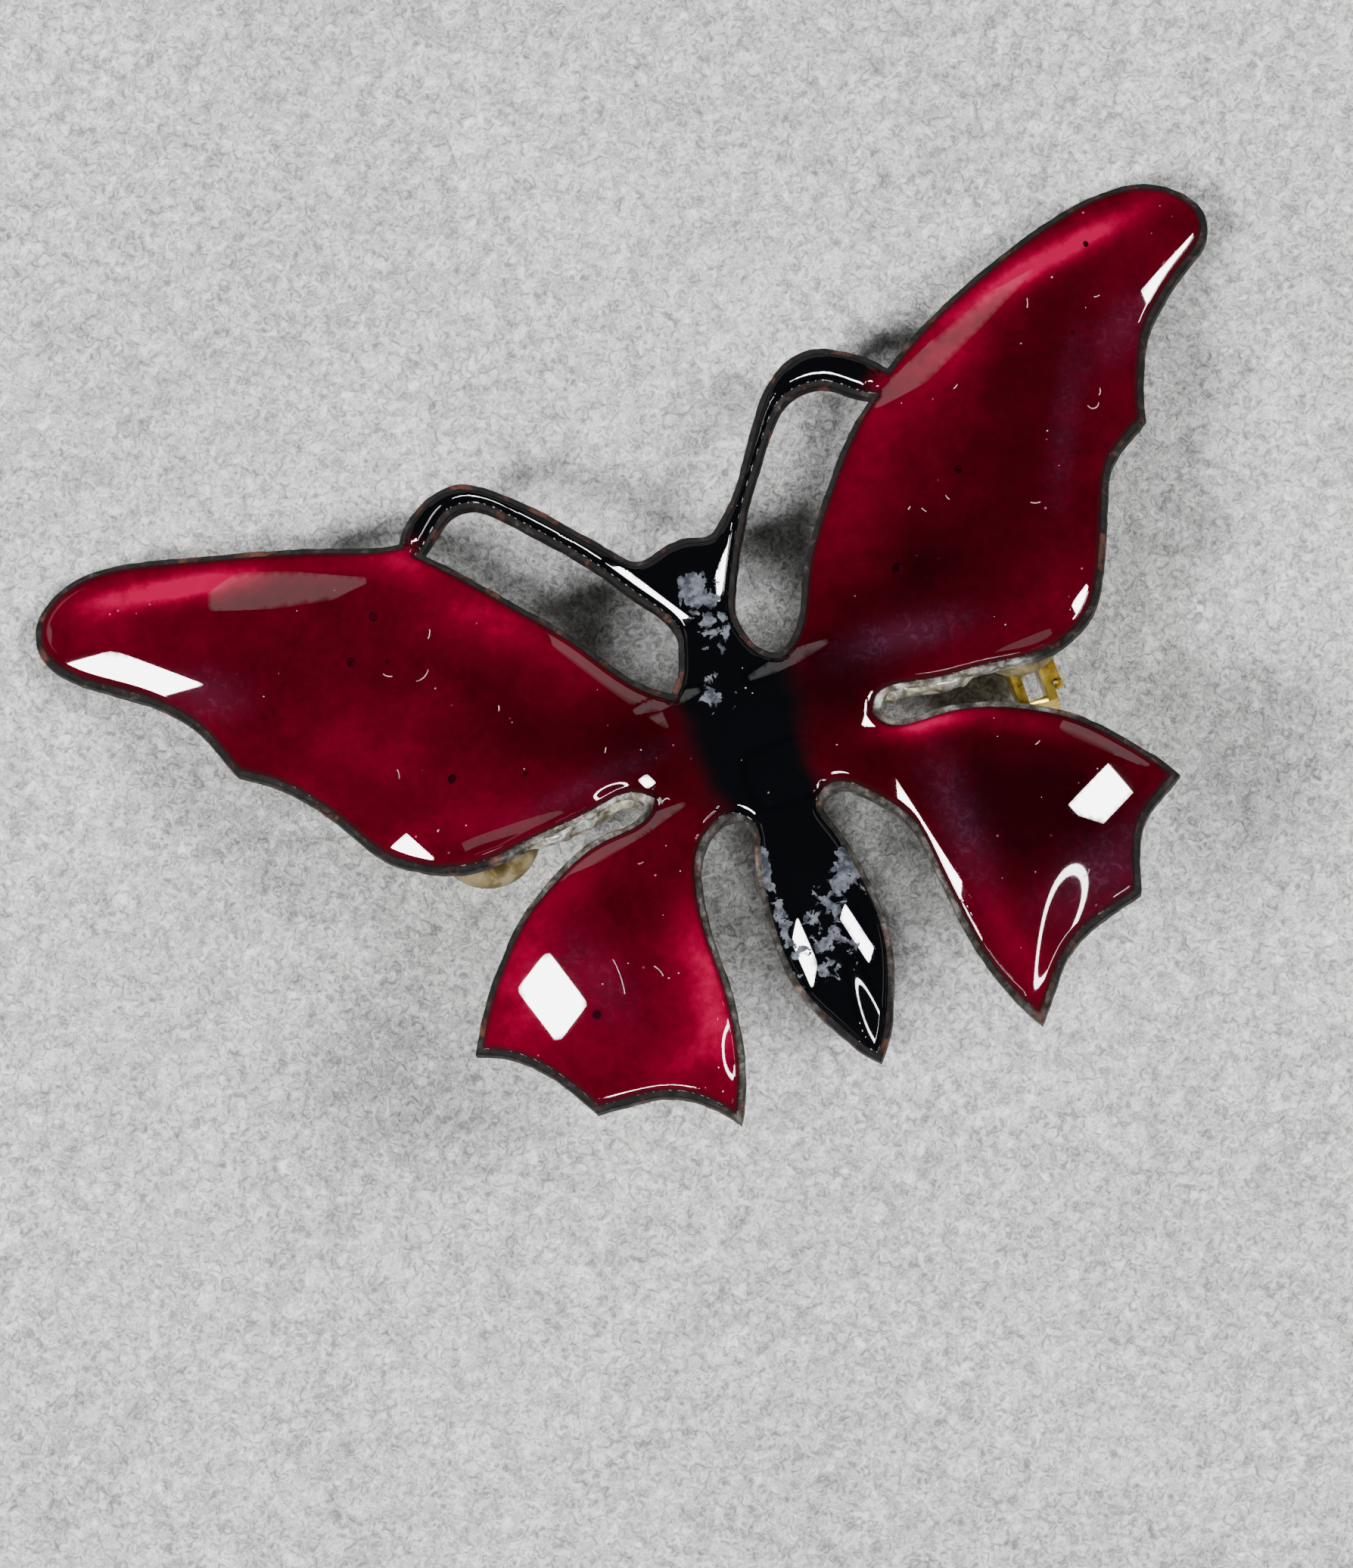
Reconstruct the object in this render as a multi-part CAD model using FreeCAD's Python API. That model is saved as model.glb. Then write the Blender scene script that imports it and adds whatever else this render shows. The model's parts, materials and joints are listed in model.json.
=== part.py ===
"""Enamelled copper butterfly brooch with a pin, a hinge joint and a rotating safety catch.

All sizes are in millimetres.  Every piece is first drawn in the plate frame: X runs across the
wings, Y towards the head, Z up out of the enamelled face, and Z = 0 is the back of the copper
between the wings.  The finished brooch is then laid on its back the way it rests on a table,
on the joint, the catch and the drooping tip of the left forewing.
"""
import FreeCAD, Part
import math
import os

V = FreeCAD.Vector

# Sheet and glass
COPPER = 0.8            # thickness of the sawn copper sheet
ENAMEL = 0.3            # glass on the front
COUNTER = 0.2           # glass on the back
FRONT_RIM = 0.3         # bare copper left around the front glass
BACK_RIM = 0.6          # bare copper left around the back glass

# Shape that the sheet is bent to
HALF_SPAN = 28.0
ARCH_RISE = 4.6         # the wings rise from the body, then droop to their tips
ARCH_FALL = 6.6
FLARE = 1.0             # trailing edge of each forewing, curled up
FLARE_LENGTH = 1.7
FLARE_EDGE = -1.7       # Y where the curl is highest
DIP = 0.35              # leading edge of each hindwing, pressed down
SLIT_START = (-1.4, -1.0)   # Y of the left and the right slit at the body
SLIT_SWEEP = 0.0135     # how fast both slits turn towards the tail
SLIT_CURL_GROWS = (3.6, 7.5)     # distance from the body over which the curl beside a slit grows
SLIT_CURL_ENDS = (13.0, 20.0)    # and over which it ends
CREASE = 0.4            # half the width of the step across a slit
BEHIND_NOTCH = (3.5, 7.5)        # distance tailward over which the inner curls and the dome grow
INNER_CURL = 0.9        # inner edge of each hindwing, curled up
INNER_CURL_X = 4.9
INNER_CURL_WIDTH = 1.5
ABDOMEN_DOME = 0.9
ABDOMEN_WIDTH = 1.8
THORAX_DOME = 0.35
THORAX_WIDTH = (2.4, 4.0)
GRID_X = 2.0            # spacing of the points that carry the bent surface
GRID_Y = 1.0
SURFACE_X = 32.0
SURFACE_Y = 20.0
TALL = 8.0              # half the height of the blocks that cut the layers
FAR_SIDE = 40.0         # reach of those blocks past the wing tips
MITRE_LIMIT = 0.55      # a sharper corner is moved in no further than this cosine allows

# Pin, hinge joint and safety catch
PIN_LINE_Y = 1.0        # the pin runs across the back on this line, under the forewings
PIN_LINE_Z = -4.9
JOINT_X = -12.6
CATCH_X = 12.35
PIN_RADIUS = 0.45
PIN_TIP_RADIUS = 0.08
PIN_TAPER = 3.4
PIN_OVERHANG = 1.5      # point of the pin past the middle of the catch
EYE_RADIUS = 1.05
EYE_WIDTH = 0.7
NECK_LENGTH = 1.9       # flat neck of the pin, from the rivet to the round wire
NECK_HEIGHT = 0.8
RIVET_RADIUS = 0.5
RIVET_HEAD_RADIUS = 0.8
RIVET_HEAD = 0.3
RUNNING_FIT = 0.05      # radial clearance of what turns
EAR = 0.35
EAR_GAP = 0.8
FOOT_RADIUS = 1.5       # round lower end of the ears and of the catch cheeks
BASE_TOP = -0.55        # upper face of both base plates, set in glue
BASE = 0.5
JOINT_BASE_X = 3.2
JOINT_BASE_Y = (-1.9, 2.7)
CATCH_BASE_X = 3.4
CATCH_BASE_Y = (-1.1, 2.9)
BASE_CORNER = 0.9
EAR_TOP_X = 3.0         # width of an ear where it meets its base plate
CHEEK = 0.45
CHEEK_GAP = 0.85
CHEEK_TOP_Y = (-1.0, 2.4)
CHEEK_FOOT = (235.0, -5.0)   # where the sides of a cheek leave its round foot, in degrees from the head
GUARD_Y = -2.75         # tail side of the catch, where a wall joins its cheeks
GUARD_Z = (-4.6, -2.1)
GUARD_WALL = 0.3
HUB_RADIUS = 1.05
DRUM_RADIUS = 1.4
ROTOR_BORE = 0.62
SLOT = 1.1              # mouth that the pin swings in through
SLOT_DEPTH = 4.0
ROTOR_SIDE_GAP = 0.06
LEVER_REACH = 2.45
LEVER_ANGLE = 172.0     # from the head direction, turning up towards the plate
LEVER_WIDTH = 0.42
KNOB_RADIUS = 0.3
LEVER_THICKNESS = 0.45
LEVER_SPACE = 8.0       # room beside the catch that the lever may fill

# Glue under each base plate
JOINT_GLUE = ((-12.85, -0.3), 2.35, 2.4)
CATCH_GLUE = ((12.35, 0.3), 2.1, 2.1)
GLUE_TOP = 0.9
GLUE_BOTTOM = -0.95

# Search for the angle at which the brooch rests
LEFT_TIP_X = -24.0      # the left forewing touches the table beyond this
STEEPEST = 30.0
HALVINGS = 40

# Outline of the sheet, one list per stretch between two corners.  The two sides are sawn by
# hand and differ a little, so each has its own points.  A stretch is a smooth curve.
HEAD = (-0.5, 9.35)
ABDOMEN_TIP = (0.1, -16.5)

RIGHT_EDGE = [
    [HEAD, (0.4, 9.22), (1.1, 9.1), (1.55, 9.4), (2.0, 9.8), (2.75, 10.6), (3.55, 11.7), (4.4, 12.95),
     (5.25, 14.1), (6.1, 14.9), (7.2, 15.4),
     (8.2, 15.45), (9.1, 15.1), (9.9, 14.6), (11.1, 13.4)],
    [(11.1, 13.4), (13.0, 14.6), (15.0, 15.6), (17.0, 16.45), (19.0, 17.2), (21.0, 17.8), (23.2, 18.2),
     (25.2, 17.95), (26.5, 17.1), (27.1, 15.9), (26.8, 14.8), (25.4, 13.6), (23.9, 12.4), (22.7, 11.1),
     (21.9, 9.5), (21.4, 8.2), (21.2, 7.3)],
    [(21.2, 7.3), (20.1, 6.6), (19.0, 5.7), (18.4, 4.6), (17.7, 2.9), (16.9, 1.1), (16.1, -0.25),
     (15.1, -1.15), (13.9, -1.75), (12.4, -1.9), (10.4, -1.6), (8.4, -1.4), (6.9, -1.05), (5.9, -0.95),
     (5.5, -1.45)],
    [(5.5, -1.45), (5.95, -2.0), (7.2, -2.2), (9.0, -2.4), (10.7, -2.95), (12.3, -3.75), (13.75, -4.75),
     (15.1, -6.2), (16.2, -7.6), (16.9, -8.75)],
    [(16.9, -8.75), (15.7, -9.5), (14.5, -10.5), (13.9, -11.8), (13.4, -13.3)],
    [(13.4, -13.3), (11.5, -13.8), (9.95, -14.45), (8.6, -15.75), (7.3, -17.4)],
    [(7.3, -17.4), (6.4, -15.6), (5.75, -13.6), (5.4, -11.3), (5.15, -9.0), (4.85, -7.0), (4.1, -5.6),
     (3.2, -4.5), (2.3, -4.05), (1.65, -4.5), (1.8, -5.5), (2.25, -7.4), (2.5, -9.7), (2.35, -11.6),
     (1.85, -13.3), (1.2, -14.85), (0.6, -15.9), ABDOMEN_TIP],
]

LEFT_EDGE = [
    [HEAD, (-1.15, 9.27), (-1.75, 9.07), (-2.45, 9.05), (-3.0, 9.5), (-3.55, 10.2), (-4.6, 11.4),
     (-5.6, 12.6), (-6.7, 13.7), (-7.65, 14.55), (-8.6, 15.1), (-9.6, 15.2), (-10.6, 14.9),
     (-11.4, 14.4), (-12.2, 13.5)],
    [(-12.2, 13.5), (-13.5, 13.8), (-15.0, 14.4), (-18.0, 15.5), (-21.0, 16.5), (-24.0, 17.5),
     (-26.2, 17.85), (-27.9, 17.5), (-29.0, 16.6), (-29.3, 15.5), (-28.8, 14.2), (-27.4, 12.75),
     (-25.7, 11.4), (-24.4, 10.1), (-23.4, 8.6), (-22.9, 7.2), (-22.5, 6.2)],
    [(-22.5, 6.2), (-21.4, 5.4), (-20.5, 4.55), (-19.6, 3.4), (-18.65, 1.85), (-17.6, 0.1), (-16.4, -1.0),
     (-15.0, -1.85), (-13.5, -2.25), (-11.5, -2.1), (-9.5, -1.9), (-7.7, -1.65), (-6.5, -1.45),
     (-5.8, -1.8)],
    [(-5.8, -1.8), (-6.3, -2.25), (-7.7, -2.45), (-9.3, -2.8), (-11.0, -3.6), (-12.6, -4.6),
     (-14.0, -6.0), (-15.3, -7.6), (-16.6, -9.8)],
    [(-16.6, -9.8), (-15.2, -10.5), (-13.9, -11.75), (-13.1, -12.95), (-12.4, -14.25)],
    [(-12.4, -14.25), (-10.6, -14.4), (-8.85, -14.8), (-7.6, -15.7), (-6.6, -17.0)],
    [(-6.6, -17.0), (-5.8, -15.4), (-5.25, -13.4), (-4.95, -11.0), (-4.9, -8.2), (-4.6, -6.2),
     (-4.1, -4.8), (-3.2, -3.95), (-2.3, -3.8), (-1.8, -4.4), (-2.0, -5.6), (-2.35, -7.2),
     (-2.55, -9.6), (-2.45, -11.4), (-2.0, -13.0), (-1.2, -14.6), (-0.45, -15.9), ABDOMEN_TIP],
]

# Windows between each antenna and its forewing, each from its lower corner to its upper corner
RIGHT_WINDOW = [
    [(2.1, 2.8), (3.3, 3.7), (4.2, 5.5), (5.5, 7.6), (7.0, 9.5), (8.5, 11.2), (9.9, 12.3)],
    [(9.9, 12.3), (9.1, 12.8), (8.2, 13.5), (7.2, 13.7), (6.3, 13.5), (5.1, 12.3), (4.0, 10.9),
     (2.9, 9.3), (2.0, 7.7), (1.3, 6.3), (0.95, 5.2), (1.1, 4.0), (1.5, 3.2), (2.1, 2.8)],
]

LEFT_WINDOW = [
    [(-3.0, 2.7), (-4.4, 3.9), (-6.0, 6.3), (-8.0, 8.8), (-10.0, 11.2), (-11.3, 12.6)],
    [(-11.3, 12.6), (-10.5, 13.2), (-9.55, 13.85), (-8.6, 13.8), (-7.1, 12.5), (-5.6, 10.8),
     (-4.2, 9.0), (-3.1, 7.35), (-2.3, 6.2), (-1.95, 5.3), (-2.15, 4.2), (-2.5, 3.3), (-3.0, 2.7)],
]

# Border between red and black glass, from the notch beside the abdomen to beyond the antenna
RIGHT_BORDER = [(3.6, -19.0), (3.6, -6.4), (1.9, -4.6), (1.9, -2.0), (2.5, 0.2), (2.4, 2.6), (3.2, 6.2),
                (6.0, 10.6), (8.8, 12.2), (10.6, 13.0), (11.6, 15.5), (11.6, 19.0)]
LEFT_BORDER = [(-3.7, -19.0), (-3.7, -6.4), (-2.2, -4.4), (-3.1, -2.4), (-3.0, 1.0), (-3.2, 2.6),
               (-3.8, 6.2), (-7.0, 10.6), (-10.0, 12.4), (-11.8, 13.1), (-12.6, 15.5), (-12.6, 19.0)]


def smooth_step(low, high, value):
    """0 below low, 1 above high, and an even curve between them."""
    t = min(max((value - low) / (high - low), 0.0), 1.0)
    return t * t * (3.0 - 2.0 * t)


def slit_middle(x):
    """Y of the middle of the slit between forewing and hindwing."""
    start = SLIT_START[0] if x < 0 else SLIT_START[1]
    return start - SLIT_SWEEP * x * x


def height(x, y):
    """Height of the back of the bent copper sheet in the plate frame."""
    side = abs(x)
    s = side / HALF_SPAN
    arch = ARCH_RISE * s - ARCH_FALL * s * s
    beside_slit = smooth_step(*SLIT_CURL_GROWS, side) * (1.0 - smooth_step(*SLIT_CURL_ENDS, side))
    middle = slit_middle(x)
    forward = 1.0 / (1.0 + math.exp(-(y - middle) / CREASE))
    flare = FLARE * math.exp(-max(y - FLARE_EDGE, 0.0) / FLARE_LENGTH)
    dip = -DIP * math.exp(-max(middle - y, 0.0) / FLARE_LENGTH)
    slit = beside_slit * (forward * flare + (1.0 - forward) * dip)
    behind_notch = smooth_step(*BEHIND_NOTCH, -y)
    curl = behind_notch * INNER_CURL * math.exp(-((side - INNER_CURL_X) / INNER_CURL_WIDTH) ** 2)
    abdomen = behind_notch * ABDOMEN_DOME * math.exp(-(x / ABDOMEN_WIDTH) ** 2)
    thorax = THORAX_DOME * math.exp(-(x / THORAX_WIDTH[0]) ** 2 - (y / THORAX_WIDTH[1]) ** 2)
    return arch + slit + curl + abdomen + thorax


def bent_slab(bottom, thickness):
    """A layer that follows the bent sheet, from a height above its back."""
    columns = int(2 * SURFACE_X / GRID_X) + 1
    rows = int(2 * SURFACE_Y / GRID_Y) + 1
    grid = []
    for i in range(columns):
        x = -SURFACE_X + i * GRID_X
        line = []
        for j in range(rows):
            y = -SURFACE_Y + j * GRID_Y
            line.append(V(x, y, height(x, y) + bottom))
        grid.append(line)
    surface = Part.BSplineSurface()
    surface.interpolate(grid)
    return surface.toShape().extrude(V(0, 0, thickness))


def shifted(stretches, rim):
    """The same closed loop of stretches, moved by rim to its left as it is walked."""
    loop = []
    for stretch in stretches:
        loop.extend(stretch[:-1])
    count = len(loop)
    moved = []
    for i in range(count):
        before = V(*loop[i - 1], 0)
        here = V(*loop[i], 0)
        after = V(*loop[(i + 1) % count], 0)
        arriving = (here - before).normalize()
        leaving = (after - here).normalize()
        along = (arriving + leaving).normalize()
        reach = rim / max(along.dot(leaving), MITRE_LIMIT)
        moved.append((here.x - along.y * reach, here.y + along.x * reach))
    result = []
    start = 0
    for stretch in stretches:
        end = start + len(stretch) - 1
        result.append([moved[k % count] for k in range(start, end + 1)])
        start = end
    return result


def smooth_wire(stretches):
    """A closed wire of smooth curves that meet in corners."""
    edges = []
    for stretch in stretches:
        curve = Part.BSplineCurve()
        curve.interpolate([V(x, y, 0) for x, y in stretch])
        edges.append(curve.toShape())
    return Part.Wire(edges)


def outline_prism(rim):
    """The outline with its two windows, cut back by rim all round, as a tall prism."""
    forward = [list(reversed(stretch)) for stretch in reversed(LEFT_EDGE)]
    outer = smooth_wire(shifted(forward + RIGHT_EDGE, -rim))
    right = smooth_wire(shifted(RIGHT_WINDOW, -rim))
    left = smooth_wire(shifted([list(reversed(stretch)) for stretch in reversed(LEFT_WINDOW)], -rim))
    prisms = []
    for wire in (outer, right, left):
        face = Part.Face(wire)
        face.translate(V(0, 0, -TALL))
        prisms.append(face.extrude(V(0, 0, 2 * TALL)))
    return prisms[0].cut(Part.makeCompound(prisms[1:]))


def side_block(border, sign):
    """A tall block over everything outboard of one border line."""
    far = FAR_SIDE * sign
    corners = [V(x, y, -TALL) for x, y in border]
    corners += [V(far, border[-1][1], -TALL), V(far, border[0][1], -TALL)]
    corners.append(corners[0])
    return Part.Face(Part.makePolygon(corners)).extrude(V(0, 0, 2 * TALL))


def rounded_plate(x_range, y_range, top, thickness, corner):
    """A flat plate with rounded corners."""
    size_x = x_range[1] - x_range[0]
    size_y = y_range[1] - y_range[0]
    plate = Part.makeBox(size_x, size_y, thickness, V(x_range[0], y_range[0], top - thickness))
    upright = [edge for edge in plate.Edges if abs(edge.BoundBox.ZLength - thickness) < 1e-6]
    return plate.makeFillet(corner, upright)


def across(radius, y_start, y_end, x, z):
    """A cylinder along Y."""
    return Part.makeCylinder(radius, y_end - y_start, V(x, y_start, z), V(0, 1, 0))


def along(radius, x_start, x_end):
    """A cylinder on the pin line, along X."""
    return Part.makeCylinder(radius, x_end - x_start, V(x_start, PIN_LINE_Y, PIN_LINE_Z), V(1, 0, 0))


def one_solid(shape):
    """The single solid in a result of cutting and joining."""
    clean = shape.removeSplitter()
    return max(clean.Solids, key=lambda solid: solid.Volume)


def make_sheet_layers():
    """The copper sheet and the glass on both of its faces."""
    copper = one_solid(outline_prism(0.0).common(bent_slab(0.0, COPPER)))
    front = one_solid(outline_prism(FRONT_RIM).common(bent_slab(COPPER, ENAMEL)))
    back = one_solid(outline_prism(BACK_RIM).common(bent_slab(-COUNTER, COUNTER)))
    right_block = side_block(RIGHT_BORDER, 1)
    left_block = side_block(LEFT_BORDER, -1)
    return {
        "copper_blank": copper,
        "ruby_enamel_right": one_solid(front.common(right_block)),
        "ruby_enamel_left": one_solid(front.common(left_block)),
        "black_enamel": one_solid(front.cut(right_block.fuse(left_block))),
        "counter_enamel": back,
    }


def make_ear(y_start):
    """One ear of the joint, with its rivet hole."""
    top = BASE_TOP - BASE
    half = EAR_TOP_X / 2
    outline = [
        V(JOINT_X - FOOT_RADIUS, y_start, PIN_LINE_Z),
        V(JOINT_X + FOOT_RADIUS, y_start, PIN_LINE_Z),
        V(JOINT_X + half, y_start, top),
        V(JOINT_X - half, y_start, top),
        V(JOINT_X - FOOT_RADIUS, y_start, PIN_LINE_Z),
    ]
    web = Part.Face(Part.makePolygon(outline)).extrude(V(0, EAR, 0))
    foot = across(FOOT_RADIUS, y_start, y_start + EAR, JOINT_X, PIN_LINE_Z)
    hole = across(RIVET_RADIUS, y_start, y_start + EAR, JOINT_X, PIN_LINE_Z)
    return web.fuse(foot).cut(hole)


def make_joint():
    """The hinge joint: a base plate with two ears."""
    x_range = (JOINT_X - JOINT_BASE_X / 2, JOINT_X + JOINT_BASE_X / 2)
    plate = rounded_plate(x_range, JOINT_BASE_Y, BASE_TOP, BASE, BASE_CORNER)
    lower_ear = make_ear(PIN_LINE_Y - EAR_GAP / 2 - EAR)
    upper_ear = make_ear(PIN_LINE_Y + EAR_GAP / 2)
    return one_solid(plate.fuse([lower_ear, upper_ear]))


def make_rivet():
    """The rivet that the pin turns on, with a flat head at each end."""
    reach = EAR_GAP / 2 + EAR
    shank = across(RIVET_RADIUS, PIN_LINE_Y - reach, PIN_LINE_Y + reach, JOINT_X, PIN_LINE_Z)
    heads = []
    for y_start in (PIN_LINE_Y - reach - RIVET_HEAD, PIN_LINE_Y + reach):
        heads.append(across(RIVET_HEAD_RADIUS, y_start, y_start + RIVET_HEAD, JOINT_X, PIN_LINE_Z))
    return one_solid(shank.fuse(heads))


def make_pin():
    """The pin: an eye at the joint, a flat neck and a round wire that tapers to a point."""
    tip_x = CATCH_X + PIN_OVERHANG
    half = EYE_WIDTH / 2
    eye = across(EYE_RADIUS, PIN_LINE_Y - half, PIN_LINE_Y + half, JOINT_X, PIN_LINE_Z)
    bore = across(RIVET_RADIUS + RUNNING_FIT, PIN_LINE_Y - half, PIN_LINE_Y + half, JOINT_X, PIN_LINE_Z)
    neck = Part.makeBox(NECK_LENGTH, EYE_WIDTH, NECK_HEIGHT,
                        V(JOINT_X, PIN_LINE_Y - half, PIN_LINE_Z - NECK_HEIGHT / 2))
    wire = along(PIN_RADIUS, JOINT_X + NECK_LENGTH, tip_x - PIN_TAPER)
    start = V(tip_x - PIN_TAPER, PIN_LINE_Y, PIN_LINE_Z)
    taper = Part.makeCone(PIN_RADIUS, PIN_TIP_RADIUS, PIN_TAPER, start, V(1, 0, 0))
    return one_solid(eye.fuse([neck, wire, taper]).cut(bore))


def mouth(x_start, x_end):
    """The mouth below the pin line that the pin swings in through."""
    low_corner = V(x_start, PIN_LINE_Y - SLOT / 2, PIN_LINE_Z - SLOT_DEPTH)
    return Part.makeBox(x_end - x_start, SLOT, SLOT_DEPTH, low_corner)


def make_cheek(x_start):
    """One cheek of the catch: it holds the barrel and reaches towards the tail as a guard."""
    top = BASE_TOP - BASE
    low, high = (math.radians(angle) for angle in CHEEK_FOOT)
    outline = [
        V(x_start, PIN_LINE_Y + FOOT_RADIUS * math.cos(low), PIN_LINE_Z + FOOT_RADIUS * math.sin(low)),
        V(x_start, PIN_LINE_Y + FOOT_RADIUS * math.cos(high), PIN_LINE_Z + FOOT_RADIUS * math.sin(high)),
        V(x_start, CHEEK_TOP_Y[1], top),
        V(x_start, CHEEK_TOP_Y[0], top),
        V(x_start, GUARD_Y, GUARD_Z[1]),
        V(x_start, GUARD_Y, GUARD_Z[0]),
    ]
    outline.append(outline[0])
    web = Part.Face(Part.makePolygon(outline)).extrude(V(CHEEK, 0, 0))
    foot = along(FOOT_RADIUS, x_start, x_start + CHEEK)
    hole = along(HUB_RADIUS + RUNNING_FIT, x_start, x_start + CHEEK)
    return web.fuse(foot).cut(hole.fuse(mouth(x_start, x_start + CHEEK)))


def make_catch():
    """The body of the safety catch: a base plate, two cheeks and the guard wall between them."""
    x_range = (CATCH_X - CATCH_BASE_X / 2, CATCH_X + CATCH_BASE_X / 2)
    plate = rounded_plate(x_range, CATCH_BASE_Y, BASE_TOP, BASE, BASE_CORNER)
    near = make_cheek(CATCH_X - CHEEK_GAP / 2 - CHEEK)
    far = make_cheek(CATCH_X + CHEEK_GAP / 2)
    wall = Part.makeBox(CHEEK_GAP + 2 * CHEEK, GUARD_WALL, GUARD_Z[1] - GUARD_Z[0],
                        V(CATCH_X - CHEEK_GAP / 2 - CHEEK, GUARD_Y, GUARD_Z[0]))
    return one_solid(plate.fuse([near, far, wall]))


def make_rotor():
    """The barrel that turns in the cheeks and shuts their mouth, with its thumb lever."""
    inner = CHEEK_GAP / 2 - ROTOR_SIDE_GAP
    outer = CHEEK_GAP / 2 + CHEEK + ROTOR_SIDE_GAP
    lever_end = outer + LEVER_THICKNESS
    hub = along(HUB_RADIUS, CATCH_X - outer, CATCH_X + lever_end)
    drum = along(DRUM_RADIUS, CATCH_X - inner, CATCH_X + inner)
    lever = Part.makeBox(LEVER_THICKNESS, LEVER_REACH, LEVER_WIDTH,
                         V(CATCH_X + outer, PIN_LINE_Y, PIN_LINE_Z - LEVER_WIDTH / 2))
    knob_middle = V(CATCH_X + outer + LEVER_THICKNESS / 2, PIN_LINE_Y + LEVER_REACH, PIN_LINE_Z)
    lever = lever.fuse(Part.makeSphere(KNOB_RADIUS, knob_middle))
    lever.rotate(V(CATCH_X, PIN_LINE_Y, PIN_LINE_Z), V(1, 0, 0), LEVER_ANGLE)
    half = LEVER_SPACE / 2
    beside_cheek = Part.makeBox(half, LEVER_SPACE, LEVER_SPACE,
                                V(CATCH_X + outer, PIN_LINE_Y - half, PIN_LINE_Z - half))
    barrel = hub.fuse([drum, lever.common(beside_cheek)])
    bore = along(ROTOR_BORE, CATCH_X - outer, CATCH_X + lever_end)
    return one_solid(barrel.cut(bore.fuse(mouth(CATCH_X - outer, CATCH_X + lever_end))))


def make_glue(spot, pieces):
    """A blob of glue that fills the space between a base plate and the back of the wing."""
    (x, y), half_x, half_y = spot
    blob = Part.makeSphere(1.0)
    stretch = FreeCAD.Matrix()
    stretch.scale(half_x, half_y, (GLUE_TOP - GLUE_BOTTOM) / 2)
    blob = blob.transformGeometry(stretch)
    blob.translate(V(x, y, (GLUE_TOP + GLUE_BOTTOM) / 2))
    return one_solid(blob.cut(pieces))


def resting_tilt():
    """Angle that the head goes down by when the brooch lies on its joint, catch and left tip."""
    tips = []
    for x, y in LEFT_EDGE[1]:
        if x < LEFT_TIP_X:
            tips.append((y, height(x, y)))
    low = 0.0
    high = STEEPEST
    for _ in range(HALVINGS):
        angle = math.radians((low + high) / 2)
        foot = PIN_LINE_Z * math.cos(angle) - PIN_LINE_Y * math.sin(angle) - FOOT_RADIUS
        tip = min(z * math.cos(angle) - y * math.sin(angle) for y, z in tips)
        if tip > foot:
            low = math.degrees(angle)
        else:
            high = math.degrees(angle)
    return (low + high) / 2


def main():
    os.makedirs("parts", exist_ok=True)
    pieces = make_sheet_layers()
    pieces["joint_base"] = make_joint()
    pieces["joint_rivet"] = make_rivet()
    pieces["pin_stem"] = make_pin()
    pieces["catch_base"] = make_catch()
    pieces["catch_rotor"] = make_rotor()
    backing = [pieces["copper_blank"], pieces["counter_enamel"]]
    pieces["glue_joint"] = make_glue(JOINT_GLUE, backing + [pieces["joint_base"]])
    pieces["glue_catch"] = make_glue(CATCH_GLUE, backing + [pieces["catch_base"]])

    tilt = resting_tilt()
    for shape in pieces.values():
        shape.rotate(V(0, 0, 0), V(1, 0, 0), -tilt)
    box = FreeCAD.BoundBox()
    for shape in pieces.values():
        box.add(shape.optimalBoundingBox())
    shift = V(-(box.XMin + box.XMax) / 2, -(box.YMin + box.YMax) / 2, -box.ZMin)
    for name, shape in pieces.items():
        shape.translate(shift)
        shape.exportStep("parts/" + name + ".step")
        print(name, "volume", round(shape.Volume, 3), "valid", shape.isValid())

    place = FreeCAD.Placement(shift, FreeCAD.Rotation(V(1, 0, 0), -tilt))
    print("size", round(box.XLength, 2), round(box.YLength, 2), round(box.ZLength, 2))
    print("tilt", round(tilt, 3))
    print("rivet", place.multVec(V(JOINT_X, PIN_LINE_Y, PIN_LINE_Z)))
    print("catch", place.multVec(V(CATCH_X, PIN_LINE_Y, PIN_LINE_Z)))
    print("rivet axis", place.Rotation.multVec(V(0, 1, 0)))
    print("plate face", place.Rotation.multVec(V(0, 0, 1)))
    print("plate origin", place.multVec(V(0, 0, 0)))


main()
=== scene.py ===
"""Looks of the enamelled butterfly brooch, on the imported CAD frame.

The CAD gives the place and outline of every piece.  The sheet and the glass are remade here as
fine meshes on the same bent surface, so that the glass can round over at its edges.  The lit
patches in the glass are made with normals set on its mesh, for a viewer at the scene's camera.
Sizes are in millimetres in the plate frame: X across the wings, Y to the head, Z out of the
enamelled face, zero at the back of the copper.  Places and sizes of lights are in metres.
"""
import json
import math
from collections import namedtuple
from functools import cache

import bpy
import numpy as np
from mathutils import Matrix, Vector, geometry, kdtree


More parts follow.
